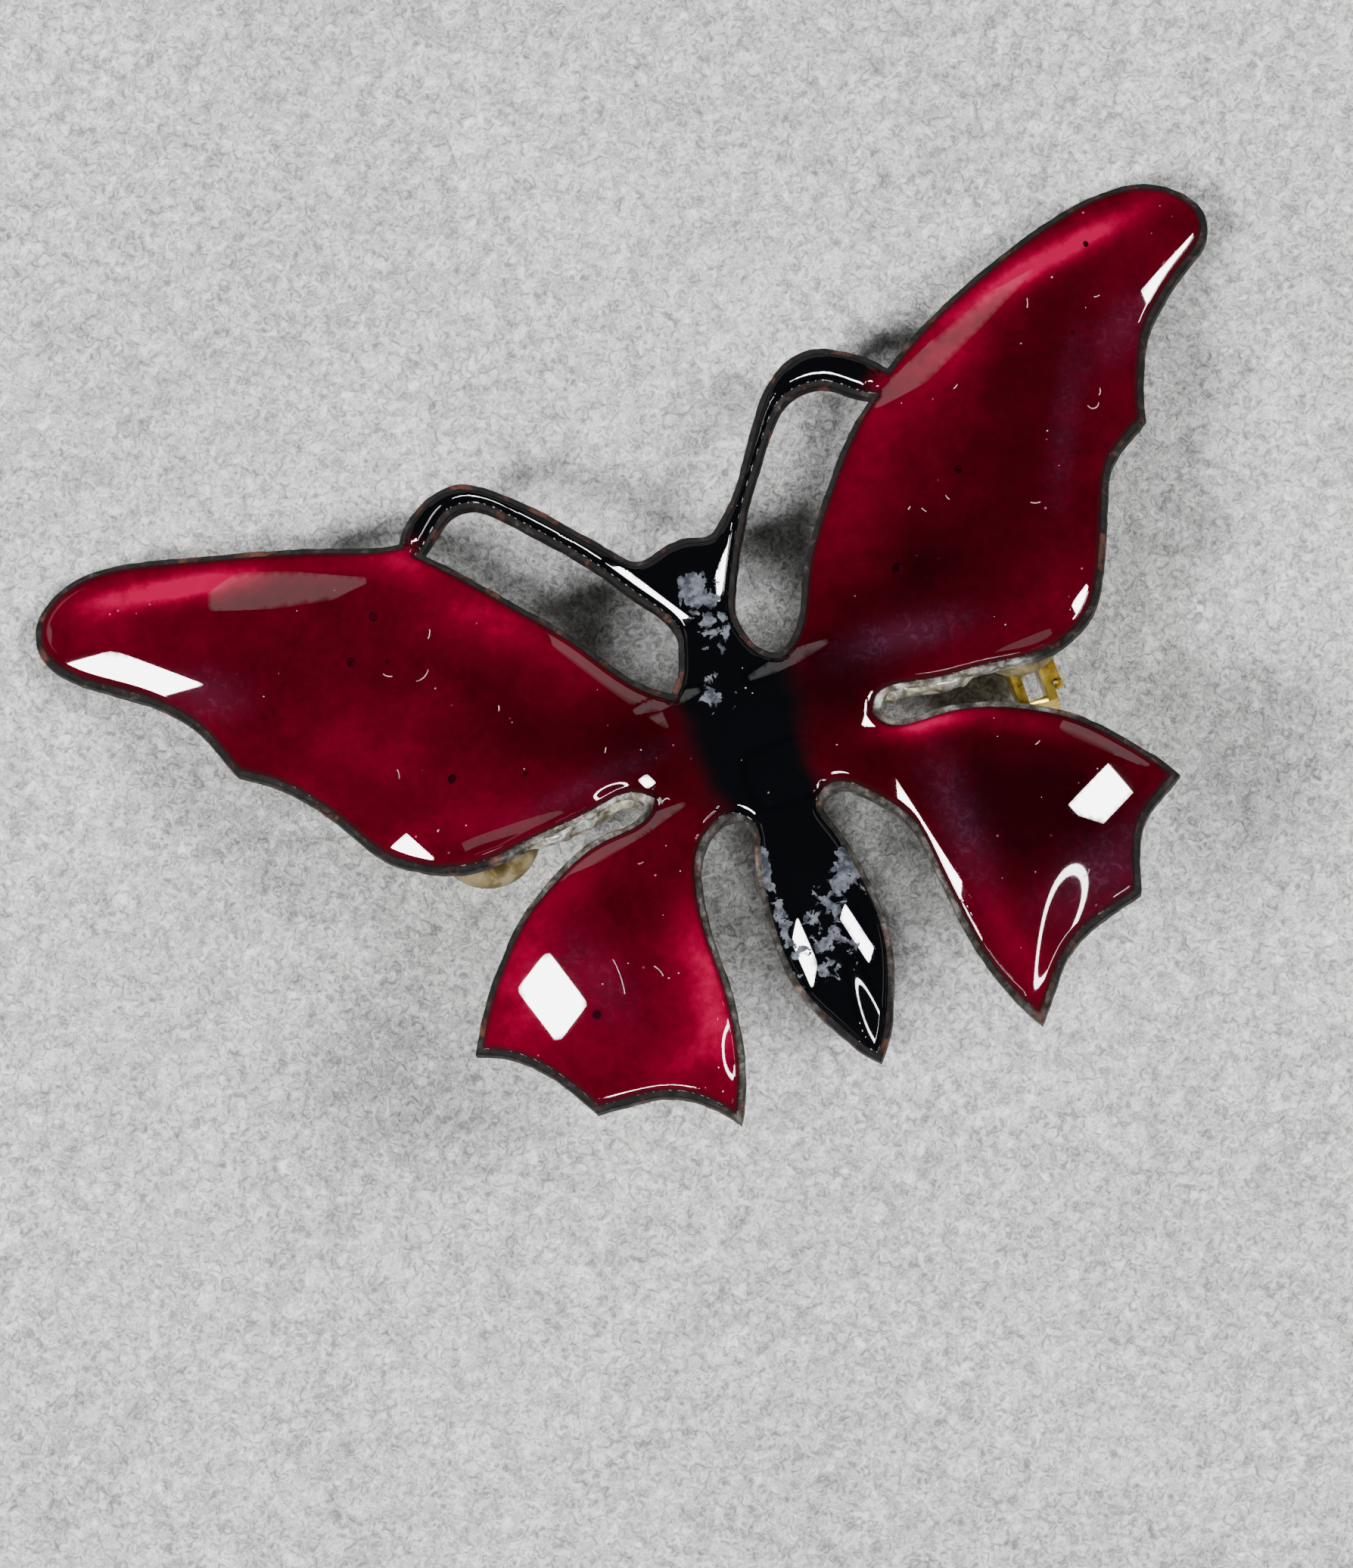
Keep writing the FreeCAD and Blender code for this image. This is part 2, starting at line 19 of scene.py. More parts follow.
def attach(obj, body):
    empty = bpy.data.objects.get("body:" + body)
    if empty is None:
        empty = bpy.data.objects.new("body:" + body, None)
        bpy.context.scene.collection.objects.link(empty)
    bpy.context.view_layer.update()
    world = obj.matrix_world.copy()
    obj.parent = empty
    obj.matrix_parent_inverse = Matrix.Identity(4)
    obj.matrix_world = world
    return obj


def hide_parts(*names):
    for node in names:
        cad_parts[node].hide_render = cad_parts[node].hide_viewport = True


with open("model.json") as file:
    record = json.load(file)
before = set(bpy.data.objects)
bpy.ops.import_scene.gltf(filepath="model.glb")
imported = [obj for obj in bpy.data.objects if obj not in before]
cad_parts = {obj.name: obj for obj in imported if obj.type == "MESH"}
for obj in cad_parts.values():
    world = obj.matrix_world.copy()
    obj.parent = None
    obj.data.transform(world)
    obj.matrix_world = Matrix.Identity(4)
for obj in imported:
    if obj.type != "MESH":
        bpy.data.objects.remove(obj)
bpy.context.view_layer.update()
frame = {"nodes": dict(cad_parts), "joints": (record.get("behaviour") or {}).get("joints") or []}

MM = 0.001

# The plate frame, as the CAD sets it
JOINT_X = -12.6
PIN_LINE_Y = 1.0
PIN_LINE_Z = -4.9
COPPER = 0.8
ENAMEL = 0.3
COUNTER = 0.2

# The bent surface, as the CAD sets it
HALF_SPAN = 28.0
ARCH_RISE = 4.6
ARCH_FALL = 6.6
FLARE = 1.0
FLARE_LENGTH = 1.7
FLARE_EDGE = -1.7
DIP = 0.35
VALLEY = 0.8              # radius that softens the valley between the wings
SLIT_START = (-1.4, -1.0)
SLIT_SWEEP = 0.0135
SLIT_CURL_GROWS = (3.6, 7.5)
SLIT_CURL_ENDS = (13.0, 20.0)
CREASE = 0.4
BEHIND_NOTCH = (3.5, 7.5)
INNER_CURL = 0.9
INNER_CURL_X = 4.9
INNER_CURL_WIDTH = 1.5
ABDOMEN_DOME = 0.9
ABDOMEN_WIDTH = 1.8
THORAX_DOME = 0.35
THORAX_WIDTH = (2.4, 4.0)

# Mesh spacing
EDGE_STEP = 0.16
COPPER_RINGS = (0.03, 0.07, 0.14, 0.28, 0.5)
GLASS_RINGS = (0.04, 0.09, 0.16, 0.26, 0.4, 0.58)
COPPER_SPACING = 0.9
GLASS_SPACING = 0.26
CORNER_ANGLE = 35.0       # a sharper turn of an outline, in degrees, is a corner
LEAST_OUTLINE = 8         # a loop of this many points or fewer isn't an outline
BATCH = 4000              # points tested at once against an outline
DENSE_STEP = 0.05         # spacing of the points used for distances to an outline
BACK_RINGS = (0.06, 0.15, 0.3)
BACK_SPACING = 0.6

# Copper
FILE_RADIUS = 0.12        # rounding that the file left on the edges
WALL_LEVELS = 4           # faces from the top of the copper's wall to its bottom
WALL_WAVER = 0.012
DENT_DEPTH = 0.012
DENTED_RIM = 0.5

# Glass
GLASS_ROUND = 0.34        # width over which the glass rounds down to its edge
FUSE_WIDTH = 0.8          # width over which red glass turns black
FLAT = 0.02               # least thickness of the glass at its edge
SKIRT = 0.05              # how far the rim of the glass is turned down into the copper
BACK_ROUND = 0.3          # the same width on the back
BACK_EDGE = 0.15          # thickness on the back at its edge, as a share of the CAD's
BACK_GAIN = 0.75          # the share that it gains inland
SHEET_EDGE_REACH = 0.45   # an outline of glass this near to the sheet's edge is an outer edge

# Lights that show only in reflections: power in watts, or the strength of the ring's glow
TARGET = (0.0, 0.0, 0.006)
WINDOW = {"place": (-0.075, 0.160, 0.580), "size": (0.11, 0.14), "power": 8.0}
CARD = {"place": (-0.500, 0.420, 0.400), "size": (0.15, 0.18), "power": 0.11}
RING = {"place": (0.125, 0.125, 0.570), "radii": (0.047, 0.057), "strength": 90.0}
DARK_PLACE = (0.020, 0.330, 0.570)   # a part of the room with no light in it
RING_SIDES = 64
# Dim banks low around the brooch, for its gloss from the side
BANKS = {"count": 8, "distance": 0.62, "height": 0.20, "size": (0.34, 0.12), "power": 0.11}
LIT_SLOPE = 0.10          # change of slope from one side of a light's reflection to the other
SKY_COLOUR = (0.90, 0.94, 1.0, 1.0)
SKY_STRENGTH = 0.03

# Light that falls on everything but doesn't show in the glass: place and power
SOFT_SIZE = (0.15, 0.18)
SOFT_LIGHTS = {"soft_left": ((-0.36, -0.02, 0.42), 5.4), "soft_right": ((0.36, -0.02, 0.42), 4.1),
               "soft_above": ((0.0, 0.0, 0.55), 0.10)}

POOL_EDGE = (1.32, 1.44)  # a pool's hold goes from all to none between these shares of its size
POOL_EDGE_STEP = 0.12     # spacing of the mesh points along those two lines
POOL_EDGE_MARGIN = 0.02
POOL_LINE_POINTS = 180    # points from which each is drawn
POOL_INLAND = (0.05, 0.25)  # depths over which a pool's hold grows from the edge of the glass
SLOPE_STEP = 0.03         # distance over which the slope of the glass is measured


# A pool is a patch of glass whose normals turn the reflection of one light to the camera.
# Direction turns its length from X in degrees, and taper widens the end that it points to.
# A later pool lies over an earlier one, and a dark one is turned to the place without a light.
Pool = namedtuple("Pool", "x y length width direction light taper", defaults=("window", 0.0))
POOLS = [
    # Dark
    Pool(0.6, -2.6, 2.6, 2.0, 0, "dark"), Pool(-6.4, -6.6, 2.2, 1.5, 0, "dark"),
    Pool(-10.1, -13.7, 5.0, 0.8, -15, "dark"), Pool(12.4, -12.75, 2.2, 0.7, 12, "dark"),
    # Window
    Pool(-12.5, -8.65, 3.0, 2.2, 80), Pool(13.2, -8.7, 2.9, 1.5, 30),
    Pool(-25.5, 12.5, 5.2, 1.35, -33), Pool(24.7, 13.4, 4.4, 1.0, 33),
    Pool(-16.2, -0.3, 1.6, 1.0, -60), Pool(15.55, -0.1, 1.4, 0.7, 48),
    Pool(-1.4, -10.7, 2.4, 0.65, 84), Pool(1.05, -10.7, 2.2, 0.6, 98),
    Pool(5.3, -8.2, 5.6, 0.85, 97, taper=-0.5), Pool(5.75, -12.1, 1.6, 0.5, 96),
    Pool(-2.45, 7.35, 3.6, 0.55, -56), Pool(1.25, 7.35, 2.6, 0.5, 52),
    Pool(3.9, 10.6, 4.4, 0.22, 54), Pool(-3.3, -4.15, 1.4, 0.6, 12),
    Pool(2.65, -4.2, 1.7, 0.6, -26), Pool(-5.35, -0.95, 0.55, 0.5, 0),
    Pool(5.5, -0.9, 0.6, 0.5, 0), Pool(-9.4, 13.9, 1.0, 0.4, 30), Pool(9.1, 12.7, 0.9, 0.4, -50),
    # Ring
    Pool(9.4, -13.5, 7.0, 1.5, 51, "ring", 1.3), Pool(0.4, -14.4, 3.9, 0.8, 91, "ring", -0.5),
    Pool(-5.8, -13.9, 2.8, 1.1, 74, "ring"), Pool(-7.0, -0.9, 1.7, 0.6, 5, "ring"),
    # Card
    Pool(-17.6, 13.3, 5.6, 1.3, -18, "card", -0.5), Pool(14.4, 13.6, 7.4, 0.9, 25, "card", -0.5),
    Pool(-7.3, -3.0, 5.0, 0.6, 12, "card"), Pool(14.3, -6.4, 3.4, 0.6, -44, "card"),
    Pool(-5.4, 4.2, 5.4, 0.7, -58, "card"), Pool(2.4, 2.2, 3.0, 0.5, 6, "card"),
    Pool(-3.3, 2.3, 2.4, 0.5, 0, "card"),
]

# Painted light and shade on the ruby, brighter as light off the copper under it, darker as shade:
# place, length, width, direction, amount
PAINTED_LIGHT_SPOTS = [
    # Left forewing
    (-22.0, 15.3, 3.2, 0.5, -14, 0.74), (-25.5, 15.0, 1.8, 1.2, -15, 0.10),
    (-19.0, 10.9, 2.2, 2.6, 70, -0.12), (-12.5, 12.6, 1.2, 0.6, -25, 0.30),
    (-9.3, 8.4, 3.5, 0.8, -50, 0.25), (-17.5, 4.9, 1.6, 2.2, 80, 0.10),
    (-9.0, 2.9, 3.0, 1.6, -50, -0.25), (-4.5, 0.4, 1.6, 2.5, 0, -0.38),
    (-13.0, 0.0, 3.5, 0.8, -5, 0.15),
    # Right forewing
    (20.0, 15.8, 3.8, 0.5, 13, 0.64), (13.8, 13.0, 2.6, 1.0, 28, 0.30),
    (8.5, 9.2, 3.6, 0.9, 52, 0.12), (9.5, 3.6, 3.2, 2.0, 20, -0.40),
    (16.5, 9.9, 4.0, 2.0, 50, -0.25), (4.0, 0.4, 1.8, 2.2, 0, -0.45),
    (16.5, 3.9, 1.5, 2.0, 60, -0.10),
    # Left hindwing
    (-5.9, -10.4, 2.6, 0.8, 88, 0.44), (-8.0, -13.1, 1.8, 1.5, 20, 0.24),
    (-13.6, -9.1, 1.8, 1.5, 60, 0.35), (-12.0, -5.2, 2.5, 1.0, 35, 0.25),
    (-7.5, -5.8, 1.6, 1.4, 0, -0.10), (-10.0, -9.4, 1.0, 1.0, 0, 0.10),
    # Right hindwing
    (6.9, -2.7, 1.6, 0.45, -10, 0.68), (11.4, -4.5, 2.5, 0.5, -32, 0.35),
    (10.5, -7.6, 3.5, 3.0, -30, -0.55), (7.2, -12.4, 2.8, 0.7, 97, 0.20),
    (4.6, -3.8, 1.2, 1.0, 0, -0.15),
]
# Mean tone of the ruby, around which the painted light and shade lies
PAINTED_LIGHT_MEAN = 0.48

# Where fine scratches make the ruby look lilac, and where the black has worn to grey
HAZES = [
    (7.6, 1.3, 1.7, 0.55, -6, 0.45), (-8.5, -0.4, 2.4, 0.4, 8, 0.22),
    (-22.6, 10.2, 1.2, 0.7, -40, 0.35), (21.6, 11.6, 1.3, 0.6, 40, 0.30),
    (7.0, -7.6, 0.6, 2.0, 0, 0.32), (12.4, -11.8, 2.2, 0.9, 20, 0.34),
    (-10.5, -8.6, 0.8, 1.6, 20, 0.20), (17.8, 8.4, 2.6, 0.4, 64, 0.18),
]
WORN = [
    (-0.5, 7.0, 0.9, 0.8, 0, 1.0), (-0.1, 4.9, 1.1, 1.3, 0, 0.95),
    (-1.3, 1.6, 0.9, 0.8, 40, 0.9), (-1.9, -8.4, 3.2, 0.35, 88, 0.95),
    (1.1, -8.3, 1.5, 0.5, 70, 0.95), (-0.4, -9.0, 1.2, 0.6, 50, 0.75),
    (0.4, -11.6, 1.0, 0.8, 0, 0.7), (1.9, -7.2, 1.4, 0.25, 95, 0.85),
    (-1.6, -6.0, 1.5, 0.3, 85, 0.60), (-0.3, -10.6, 0.9, 0.6, 30, 0.40),
    (-1.0, -12.0, 1.0, 0.4, 70, 0.55),
]

# Dark bubbles in the glass: place and radius
BUBBLES = [
    (-14.3, 10.6, 0.24), (-15.9, 9.0, 0.26), (-13.4, 2.2, 0.24), (-14.4, 8.4, 0.12),
    (8.4, 4.3, 0.30), (12.4, 7.7, 0.20), (10.2, 4.1, 0.18), (-10.3, 1.2, 0.14),
    (19.4, 12.1, 0.12), (21.4, 15.9, 0.16),
]
BUBBLE_RISE = 0.018
BUBBLE_SINK = 0.004

# Lint on the glass: place, length, direction and bend in degrees
LINT = [
    (-13.6, 7.1, 0.9, 20, 70), (-14.8, 8.0, 0.5, -40, 50), (-12.4, 8.7, 0.5, 60, 40),
    (-10.5, 4.4, 0.3, 70, 30), (-6.7, 0.9, 0.3, 60, 20), (-15.7, 3.1, 0.5, 80, 40),
    (18.9, 8.7, 0.8, -10, 160), (19.5, 8.9, 0.4, 60, 60), (10.3, 6.6, 0.3, -60, 20),
    (9.7, 6.7, 0.2, 40, 10), (11.5, 6.8, 0.3, -70, 30), (14.9, 5.2, 0.5, -20, 40),
    (13.5, 11.3, 0.3, 30, 20), (20.9, 13.4, 0.3, 0, 30), (17.9, 13.8, 0.5, 70, 20),
    (-9.5, -9.9, 1.9, 88, 20), (-7.6, -9.6, 0.7, 110, 40), (11.3, -5.4, 0.3, 20, 30),
    (11.2, -11.8, 0.5, 30, 60), (-7.0, -4.3, 0.3, 0, 40),
]
LINT_RADIUS = 0.022
LINT_POINTS = 9
SPECK_SEED = 5
SPECK_COUNT = 120
SPECK_RADIUS = (0.02, 0.05)
SPECK_RISE = 0.02
SPECK_ROWS = (-16.0, 17.0)   # their range in Y
SPECK_INLAND = 0.5

# Pale scale down the walls of the slits: side, and where along X it starts and ends
SPILLS = {"slit_scale_left": (-1, (5.7, 11.5)), "slit_scale_right": (1, (5.6, 10.0))}
SPILL_STEP = 0.1
SPILL_SIDES = 12
SPILL_DROP = 0.42         # from the copper's top to the scale's middle
SPILL_OUT = 0.05
SPILL_HALF_SIZE = (0.30, 0.38)
SPILL_LUMPS = 0.30
SPILL_LEAST = 0.04
SPILL_ENDS = (0.12, 0.8)  # shares of its length where it is full and where it starts to thin
EDGE_SEARCH = 0.02        # step of the search for the edge beside a slit

FLOOR_HALF = 0.5
BEVEL_WIDTH = 0.00005
BEVEL_ANGLE = 32.0
WELD_DISTANCE = 1e-6

# Photograph's view
VIEW_TURN = 20.0          # the head leans this far to the left in the picture
VIEW_CENTRE = (-4.16, -0.97)
VIEW_DISTANCE = 350.0
VIEW_PLANE = 6.0
VIEW_HEIGHT = 70.0        # millimetres from top to bottom of the picture
SENSOR = 36.0
CLIP = (0.01, 10.0)


def plate_frame():
    """Matrix from plate millimetres to row metres, from the hinge of the pin."""
    hinge = next(joint for joint in frame["joints"] if joint["name"] == "pin_swing")
    across = Vector((1, 0, 0))
    headward = Vector(hinge["axis"]).normalized()
    outward = across.cross(headward)
    turn = Matrix((across, headward, outward)).transposed()
    origin = Vector(hinge["pos_m"]) - turn @ Vector((JOINT_X, PIN_LINE_Y, PIN_LINE_Z)) * MM
    return Matrix.Translation(origin) @ turn.to_4x4() @ Matrix.Scale(MM, 4)


PLATE = plate_frame()
PLATE_INVERSE = PLATE.inverted()


# ---- the bent surface

def smooth_step(low, high, value):
    t = np.clip((value - low) / (high - low), 0.0, 1.0)
    return t * t * (3.0 - 2.0 * t)


def slit_middle(x):
    """Y of the middle of the slit between forewing and hindwing."""
    return np.where(x < 0, SLIT_START[0], SLIT_START[1]) - SLIT_SWEEP * x * x


def height(x, y):
    """Height of the back of the copper, as in the CAD but for the softened valley."""
    side = np.abs(x)
    s = np.sqrt(x * x + VALLEY ** 2) / HALF_SPAN
    arch = ARCH_RISE * s - ARCH_FALL * s * s
    beside_slit = smooth_step(*SLIT_CURL_GROWS, side) * (1.0 - smooth_step(*SLIT_CURL_ENDS, side))
    middle = slit_middle(x)
    forward = 1.0 / (1.0 + np.exp(-(y - middle) / CREASE))
    flare = FLARE * np.exp(-np.maximum(y - FLARE_EDGE, 0.0) / FLARE_LENGTH)
    dip = -DIP * np.exp(-np.maximum(middle - y, 0.0) / FLARE_LENGTH)
    slit = beside_slit * (forward * flare + (1.0 - forward) * dip)
    behind_notch = smooth_step(*BEHIND_NOTCH, -y)
    curl = behind_notch * INNER_CURL * np.exp(-((side - INNER_CURL_X) / INNER_CURL_WIDTH) ** 2)
    abdomen = behind_notch * ABDOMEN_DOME * np.exp(-(x / ABDOMEN_WIDTH) ** 2)
    thorax = THORAX_DOME * np.exp(-(x / THORAX_WIDTH[0]) ** 2 - (y / THORAX_WIDTH[1]) ** 2)
    return arch + slit + curl + abdomen + thorax


def waves(x, y, length, seed, count=7):
    """Smooth wandering values of about -1 to 1, with waves of the given length."""
    total = np.zeros_like(x)
    for k in range(count):
        angle = seed * 1.7 + k * 2.399
        pitch = 2 * math.pi / (length * (0.75 + 0.13 * k))
        phase = seed * 3.1 + k * k * 1.3
        total += np.sin(pitch * (x * math.cos(angle) + y * math.sin(angle)) + phase)
    return total / math.sqrt(count * 2.0)


# ---- outlines from the CAD

def outline_loops(node):
    """The closed outlines of a CAD layer in plan, as arrays of plate points."""
    mesh = frame["nodes"][node].data
    table = {}
    index = []
    points = []
    for vertex in mesh.vertices:
        p = PLATE_INVERSE @ vertex.co
        key = (round(p.x, 3), round(p.y, 3), round(p.z, 3))
        if key not in table:
            table[key] = len(points)
            points.append(p)
        index.append(table[key])
    open_edges = {}
    for polygon in mesh.polygons:
        corners = [index[v] for v in polygon.vertices]
        a, b, c = (points[v] for v in corners[:3])
        normal = (b - a).cross(c - a)
        if normal.length == 0 or normal.normalized().z < 0.5:
            continue
        for k in range(len(corners)):
            edge = (corners[k], corners[(k + 1) % len(corners)])
            if edge[::-1] in open_edges:
                del open_edges[edge[::-1]]
            else:
                open_edges[edge] = True
    following = {start: end for start, end in open_edges}
    loops = []
    while following:
        start = next(iter(following))
        loop = [start]
        here = following.pop(start)
        while here != start and here in following:
            loop.append(here)
            here = following.pop(here)
        if len(loop) > LEAST_OUTLINE:
            loops.append(np.array([points[v][:2] for v in loop]))
    return loops


def resampled(loop, step):
    """The loop with evenly spaced points between its corners."""
    before = loop - np.roll(loop, 1, 0)
    after = np.roll(loop, -1, 0) - loop
    cross = before[:, 0] * after[:, 1] - before[:, 1] * after[:, 0]
    turn = np.degrees(np.abs(np.arctan2(cross, (before * after).sum(1))))
    corners = [k for k in range(len(loop)) if turn[k] > CORNER_ANGLE]
    if not corners:
        corners = [0]
    result = []
    for k, first in enumerate(corners):
        last = corners[(k + 1) % len(corners)]
        if last <= first:
            last += len(loop)
        run = loop[[i % len(loop) for i in range(first, last + 1)]]
        lengths = np.concatenate([[0], np.cumsum(np.linalg.norm(np.diff(run, axis=0), axis=1))])
        count = max(int(round(lengths[-1] / step)), 1)
        at = np.linspace(0, lengths[-1], count + 1)[:-1]
        result.append(np.column_stack([np.interp(at, lengths, run[:, 0]),
                                       np.interp(at, lengths, run[:, 1])]))
    return np.vstack(result)


def inward(loop):
    """Unit vectors to the left of a loop, which is the side the material is on."""
    along = np.roll(loop, -1, 0) - np.roll(loop, 1, 0)
    along /= np.maximum(np.linalg.norm(along, axis=1, keepdims=True), 1e-9)
    return np.column_stack([-along[:, 1], along[:, 0]])


class Near:
    """Distance in plan to the nearest of many points."""

    def __init__(self, points):
        self.tree = kdtree.KDTree(len(points))
        for k, p in enumerate(points):
            self.tree.insert((p[0], p[1], 0), k)
        self.tree.balance()

    def distance(self, x, y):
        return np.array([self.tree.find((a, b, 0))[2] for a, b in zip(x, y)])


def dense(loops):
    return np.vstack([resampled(loop, DENSE_STEP) for loop in loops])


def inside(x, y, loops):
    """Whether each point is inside the outlines, holes left out."""
    result = np.zeros(len(x), bool)
    for loop in loops:
        ax, ay = loop.T
        bx, by = np.roll(ax, -1), np.roll(ay, -1)
        for start in range(0, len(x), BATCH):
            part = slice(start, start + BATCH)
            px, py = x[part, None], y[part, None]
            crosses = (ay > py) != (by > py)
            slope = np.where(by == ay, 1.0, by - ay)
            at = ax + (py - ay) * (bx - ax) / slope
            result[part] ^= ((crosses & (px < at)).sum(1) % 2).astype(bool)
    return result


def plan_mesh(loops, rings, spacing, lines=None):
    """Triangles over an outline, with rings of points along its edges and others along lines.

    Returns points, triangles and the number of edge points, which come first, loop by loop.
    """
    near = Near(dense(loops))
    edge_points = np.vstack(loops)
    chosen = [edge_points]
    for ring in rings:
        moved = edge_points + np.vstack([inward(loop) for loop in loops]) * ring
        keep = near.distance(*moved.T) > ring * 0.93
        keep &= inside(*moved.T, loops)
        chosen.append(moved[keep])
    low = edge_points.min(0)
    high = edge_points.max(0)
    rows = np.arange(low[1], high[1], spacing * math.sqrt(3) / 2)
    columns = np.arange(low[0], high[0], spacing)
    lattice = [(c + (k % 2) * spacing / 2, r) for k, r in enumerate(rows) for c in columns]
    lattice = np.array(lattice)
    lattice = lattice[inside(*lattice.T, loops)]
    clear = rings[-1] + spacing * 0.6
    lattice = lattice[near.distance(*lattice.T) > clear]
    if lines is not None:
        lattice = lattice[Near(lines).distance(*lattice.T) > POOL_EDGE_STEP]
        lines = lines[inside(*lines.T, loops)]
        lines = lines[near.distance(*lines.T) > POOL_EDGE_STEP]
        chosen.append(lines)
    chosen.append(lattice)
    points = np.vstack(chosen)
    edges = []
    start = 0
    for loop in loops:
        count = len(loop)
        edges.extend((start + k, start + (k + 1) % count) for k in range(count))
        start += count
    flat = [Vector(p) for p in points]
    result = geometry.delaunay_2d_cdt(flat, edges, [], 0, 1e-7)
    out_points = np.array([tuple(p) for p in result[0]])
    triangles = np.array([face for face in result[2]])
    middle = out_points[triangles].mean(1)
    triangles = triangles[inside(*middle.T, loops)]
    return out_points, triangles, len(edge_points)


# ---- meshes

def add_object(name, data):
    """An object in the scene from its mesh, light or camera."""
    item = bpy.data.objects.new(name, data)
    bpy.context.scene.collection.objects.link(item)
    return item


def new_object(name, points, faces):
    """A smooth mesh object from plate points in millimetres."""
    mesh = bpy.data.meshes.new(name)
    corners = [PLATE @ Vector(p) for p in points]
    mesh.from_pydata(corners, [], [tuple(int(v) for v in face) for face in faces])
    mesh.validate()
    mesh.polygons.foreach_set("use_smooth", [True] * len(mesh.polygons))
    mesh.update()
    return add_object(name, mesh)


def store(piece, name, values):
    """A value for each point of the mesh, for its material to read."""
    attribute = piece.data.attributes.new(name, "FLOAT", "POINT")
    attribute.data.foreach_set("value", np.asarray(values, np.float32))


def with_z(points, z):
    return np.column_stack([points, z])


def wall_faces(loops, upper, lower):
    """Quads between two rows of points along the loops."""
    faces = []
    start = 0
    for loop in loops:
        for k in range(len(loop)):
            a = start + k
            b = start + (k + 1) % len(loop)
            faces.append((upper[b], upper[a], lower[a], lower[b]))
        start += len(loop)
    return faces


def pale_scale(x, y):
    """How pale the firescale is: palest beside the slits, then the notches and the tails."""
    side = np.abs(x)
    from_slit = y - slit_middle(x)
    slit = smooth_step(4.6, 5.6, side) * (1 - smooth_step(14.5, 16.5, side))
    slit *= 1 - smooth_step(0.9, 1.6, np.abs(from_slit))
    forward = smooth_step(-0.3, 0.3, from_slit)
    inner = smooth_step(3.2, 4.2, -y) * smooth_step(1.4, 2.0, side) * (1 - smooth_step(5.6, 6.4, side))
    tail = smooth_step(15.0, 16.6, -y) * smooth_step(4.0, 5.0, side)
    return np.clip(slit * (0.35 + 0.65 * forward) + 0.25 * inner + 0.15 * tail, 0, 1)


def make_copper(loops):
    """The sawn sheet: filed edges, slightly uneven, with both faces and the wall between."""
    ragged = []
    for loop in loops:
        x, y = loop.T
        bite = 0.02 + 0.022 * waves(x, y, 1.7, 3) + 0.014 * waves(x, y, 0.6, 8)
        ragged.append(loop + inward(loop) * np.maximum(bite, 0.0)[:, None])
    points, triangles, count = plan_mesh(ragged, COPPER_RINGS, COPPER_SPACING)
    near = Near(dense(ragged))
    x, y = points.T
    depth = near.distance(x, y)
    depth[:count] = 0.0
    curve = 1 - np.minimum(depth / FILE_RADIUS, 1)
    rounding = FILE_RADIUS * (1 - np.sqrt(np.clip(1 - curve ** 2, 0, 1)))
    base = height(x, y)
    dents = DENT_DEPTH * waves(x, y, 0.9, 5) * (depth < DENTED_RIM)
    top = with_z(points, base + COPPER - rounding + dents)
    bottom = with_z(points, base + rounding)
    total = len(points)
    vertices = [top, bottom]
    faces = [tuple(t) for t in triangles]
    faces += [tuple(total + v for v in reversed(t)) for t in triangles]
    rows = [np.arange(count)]
    start = 2 * total
    for level in range(1, WALL_LEVELS):
        share = level / WALL_LEVELS
        wall = top[:count] * (1 - share) + bottom[:count] * share
        waver_x = waves(x[:count] + level, y[:count], 0.7, 2 + level)
        waver_y = waves(x[:count], y[:count] + level, 0.7, 6 + level)
        wall[:, :2] += WALL_WAVER * np.column_stack([waver_x, waver_y])
        vertices.append(wall)
        rows.append(np.arange(start, start + count))
        start += count
    rows.append(np.arange(total, total + count))
    # One loop at a time, from its top row to its bottom row
    offset = 0
    for loop in ragged:
        part = slice(offset, offset + len(loop))
        for upper, lower in zip(rows, rows[1:]):
            faces += wall_faces([loop], upper[part], lower[part])
        offset += len(loop)
    everywhere = np.vstack(vertices)
    piece = new_object("copper_sheet", everywhere, faces)
    store(piece, "pale", pale_scale(*everywhere[:, :2].T))
    piece.data.materials.append(copper_material())
    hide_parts("copper_blank")
    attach(piece, "brooch")


def turned(x, y, spot_x, spot_y, degrees):
    """Distances from a spot, along and across a direction."""
    turn = math.radians(degrees)
    dx = x - spot_x
    dy = y - spot_y
    return dx * math.cos(turn) + dy * math.sin(turn), dy * math.cos(turn) - dx * math.sin(turn)


def field(x, y, spots):
    """Sum of soft spots."""
    total = np.zeros_like(x)
    for spot_x, spot_y, length, width, degrees, amount in spots:
        along, across = turned(x, y, spot_x, spot_y, degrees)
        total += amount * np.exp(-0.5 * ((along / length) ** 2 + (across / width) ** 2))
    return total


def open_glass(x, y):
    """Height of the glass away from its edges: thick, and a little uneven."""
    uneven = 0.012 * waves(x, y, 7.0, 4) + 0.0015 * waves(x, y, 1.9, 9)
    return height(x, y) + COPPER + ENAMEL + uneven


def glass_top(x, y, outer):
    """Height of the glass: it rounds down to its edges."""
    depth = outer.distance(x, y)
    part = np.clip(depth / GLASS_ROUND, 0, 1)
    body = np.sqrt(np.clip(1 - (1 - part) ** 2, 0, 1))
    return open_glass(x, y) + (FLAT - ENAMEL) * (1 - body)


def pool_width(each, along):
    """Width of a pool at a place along it, which runs from -0.5 to 0.5 over its length."""
    return each.width * np.clip(1 + each.taper * along, 0.3, 2.0)


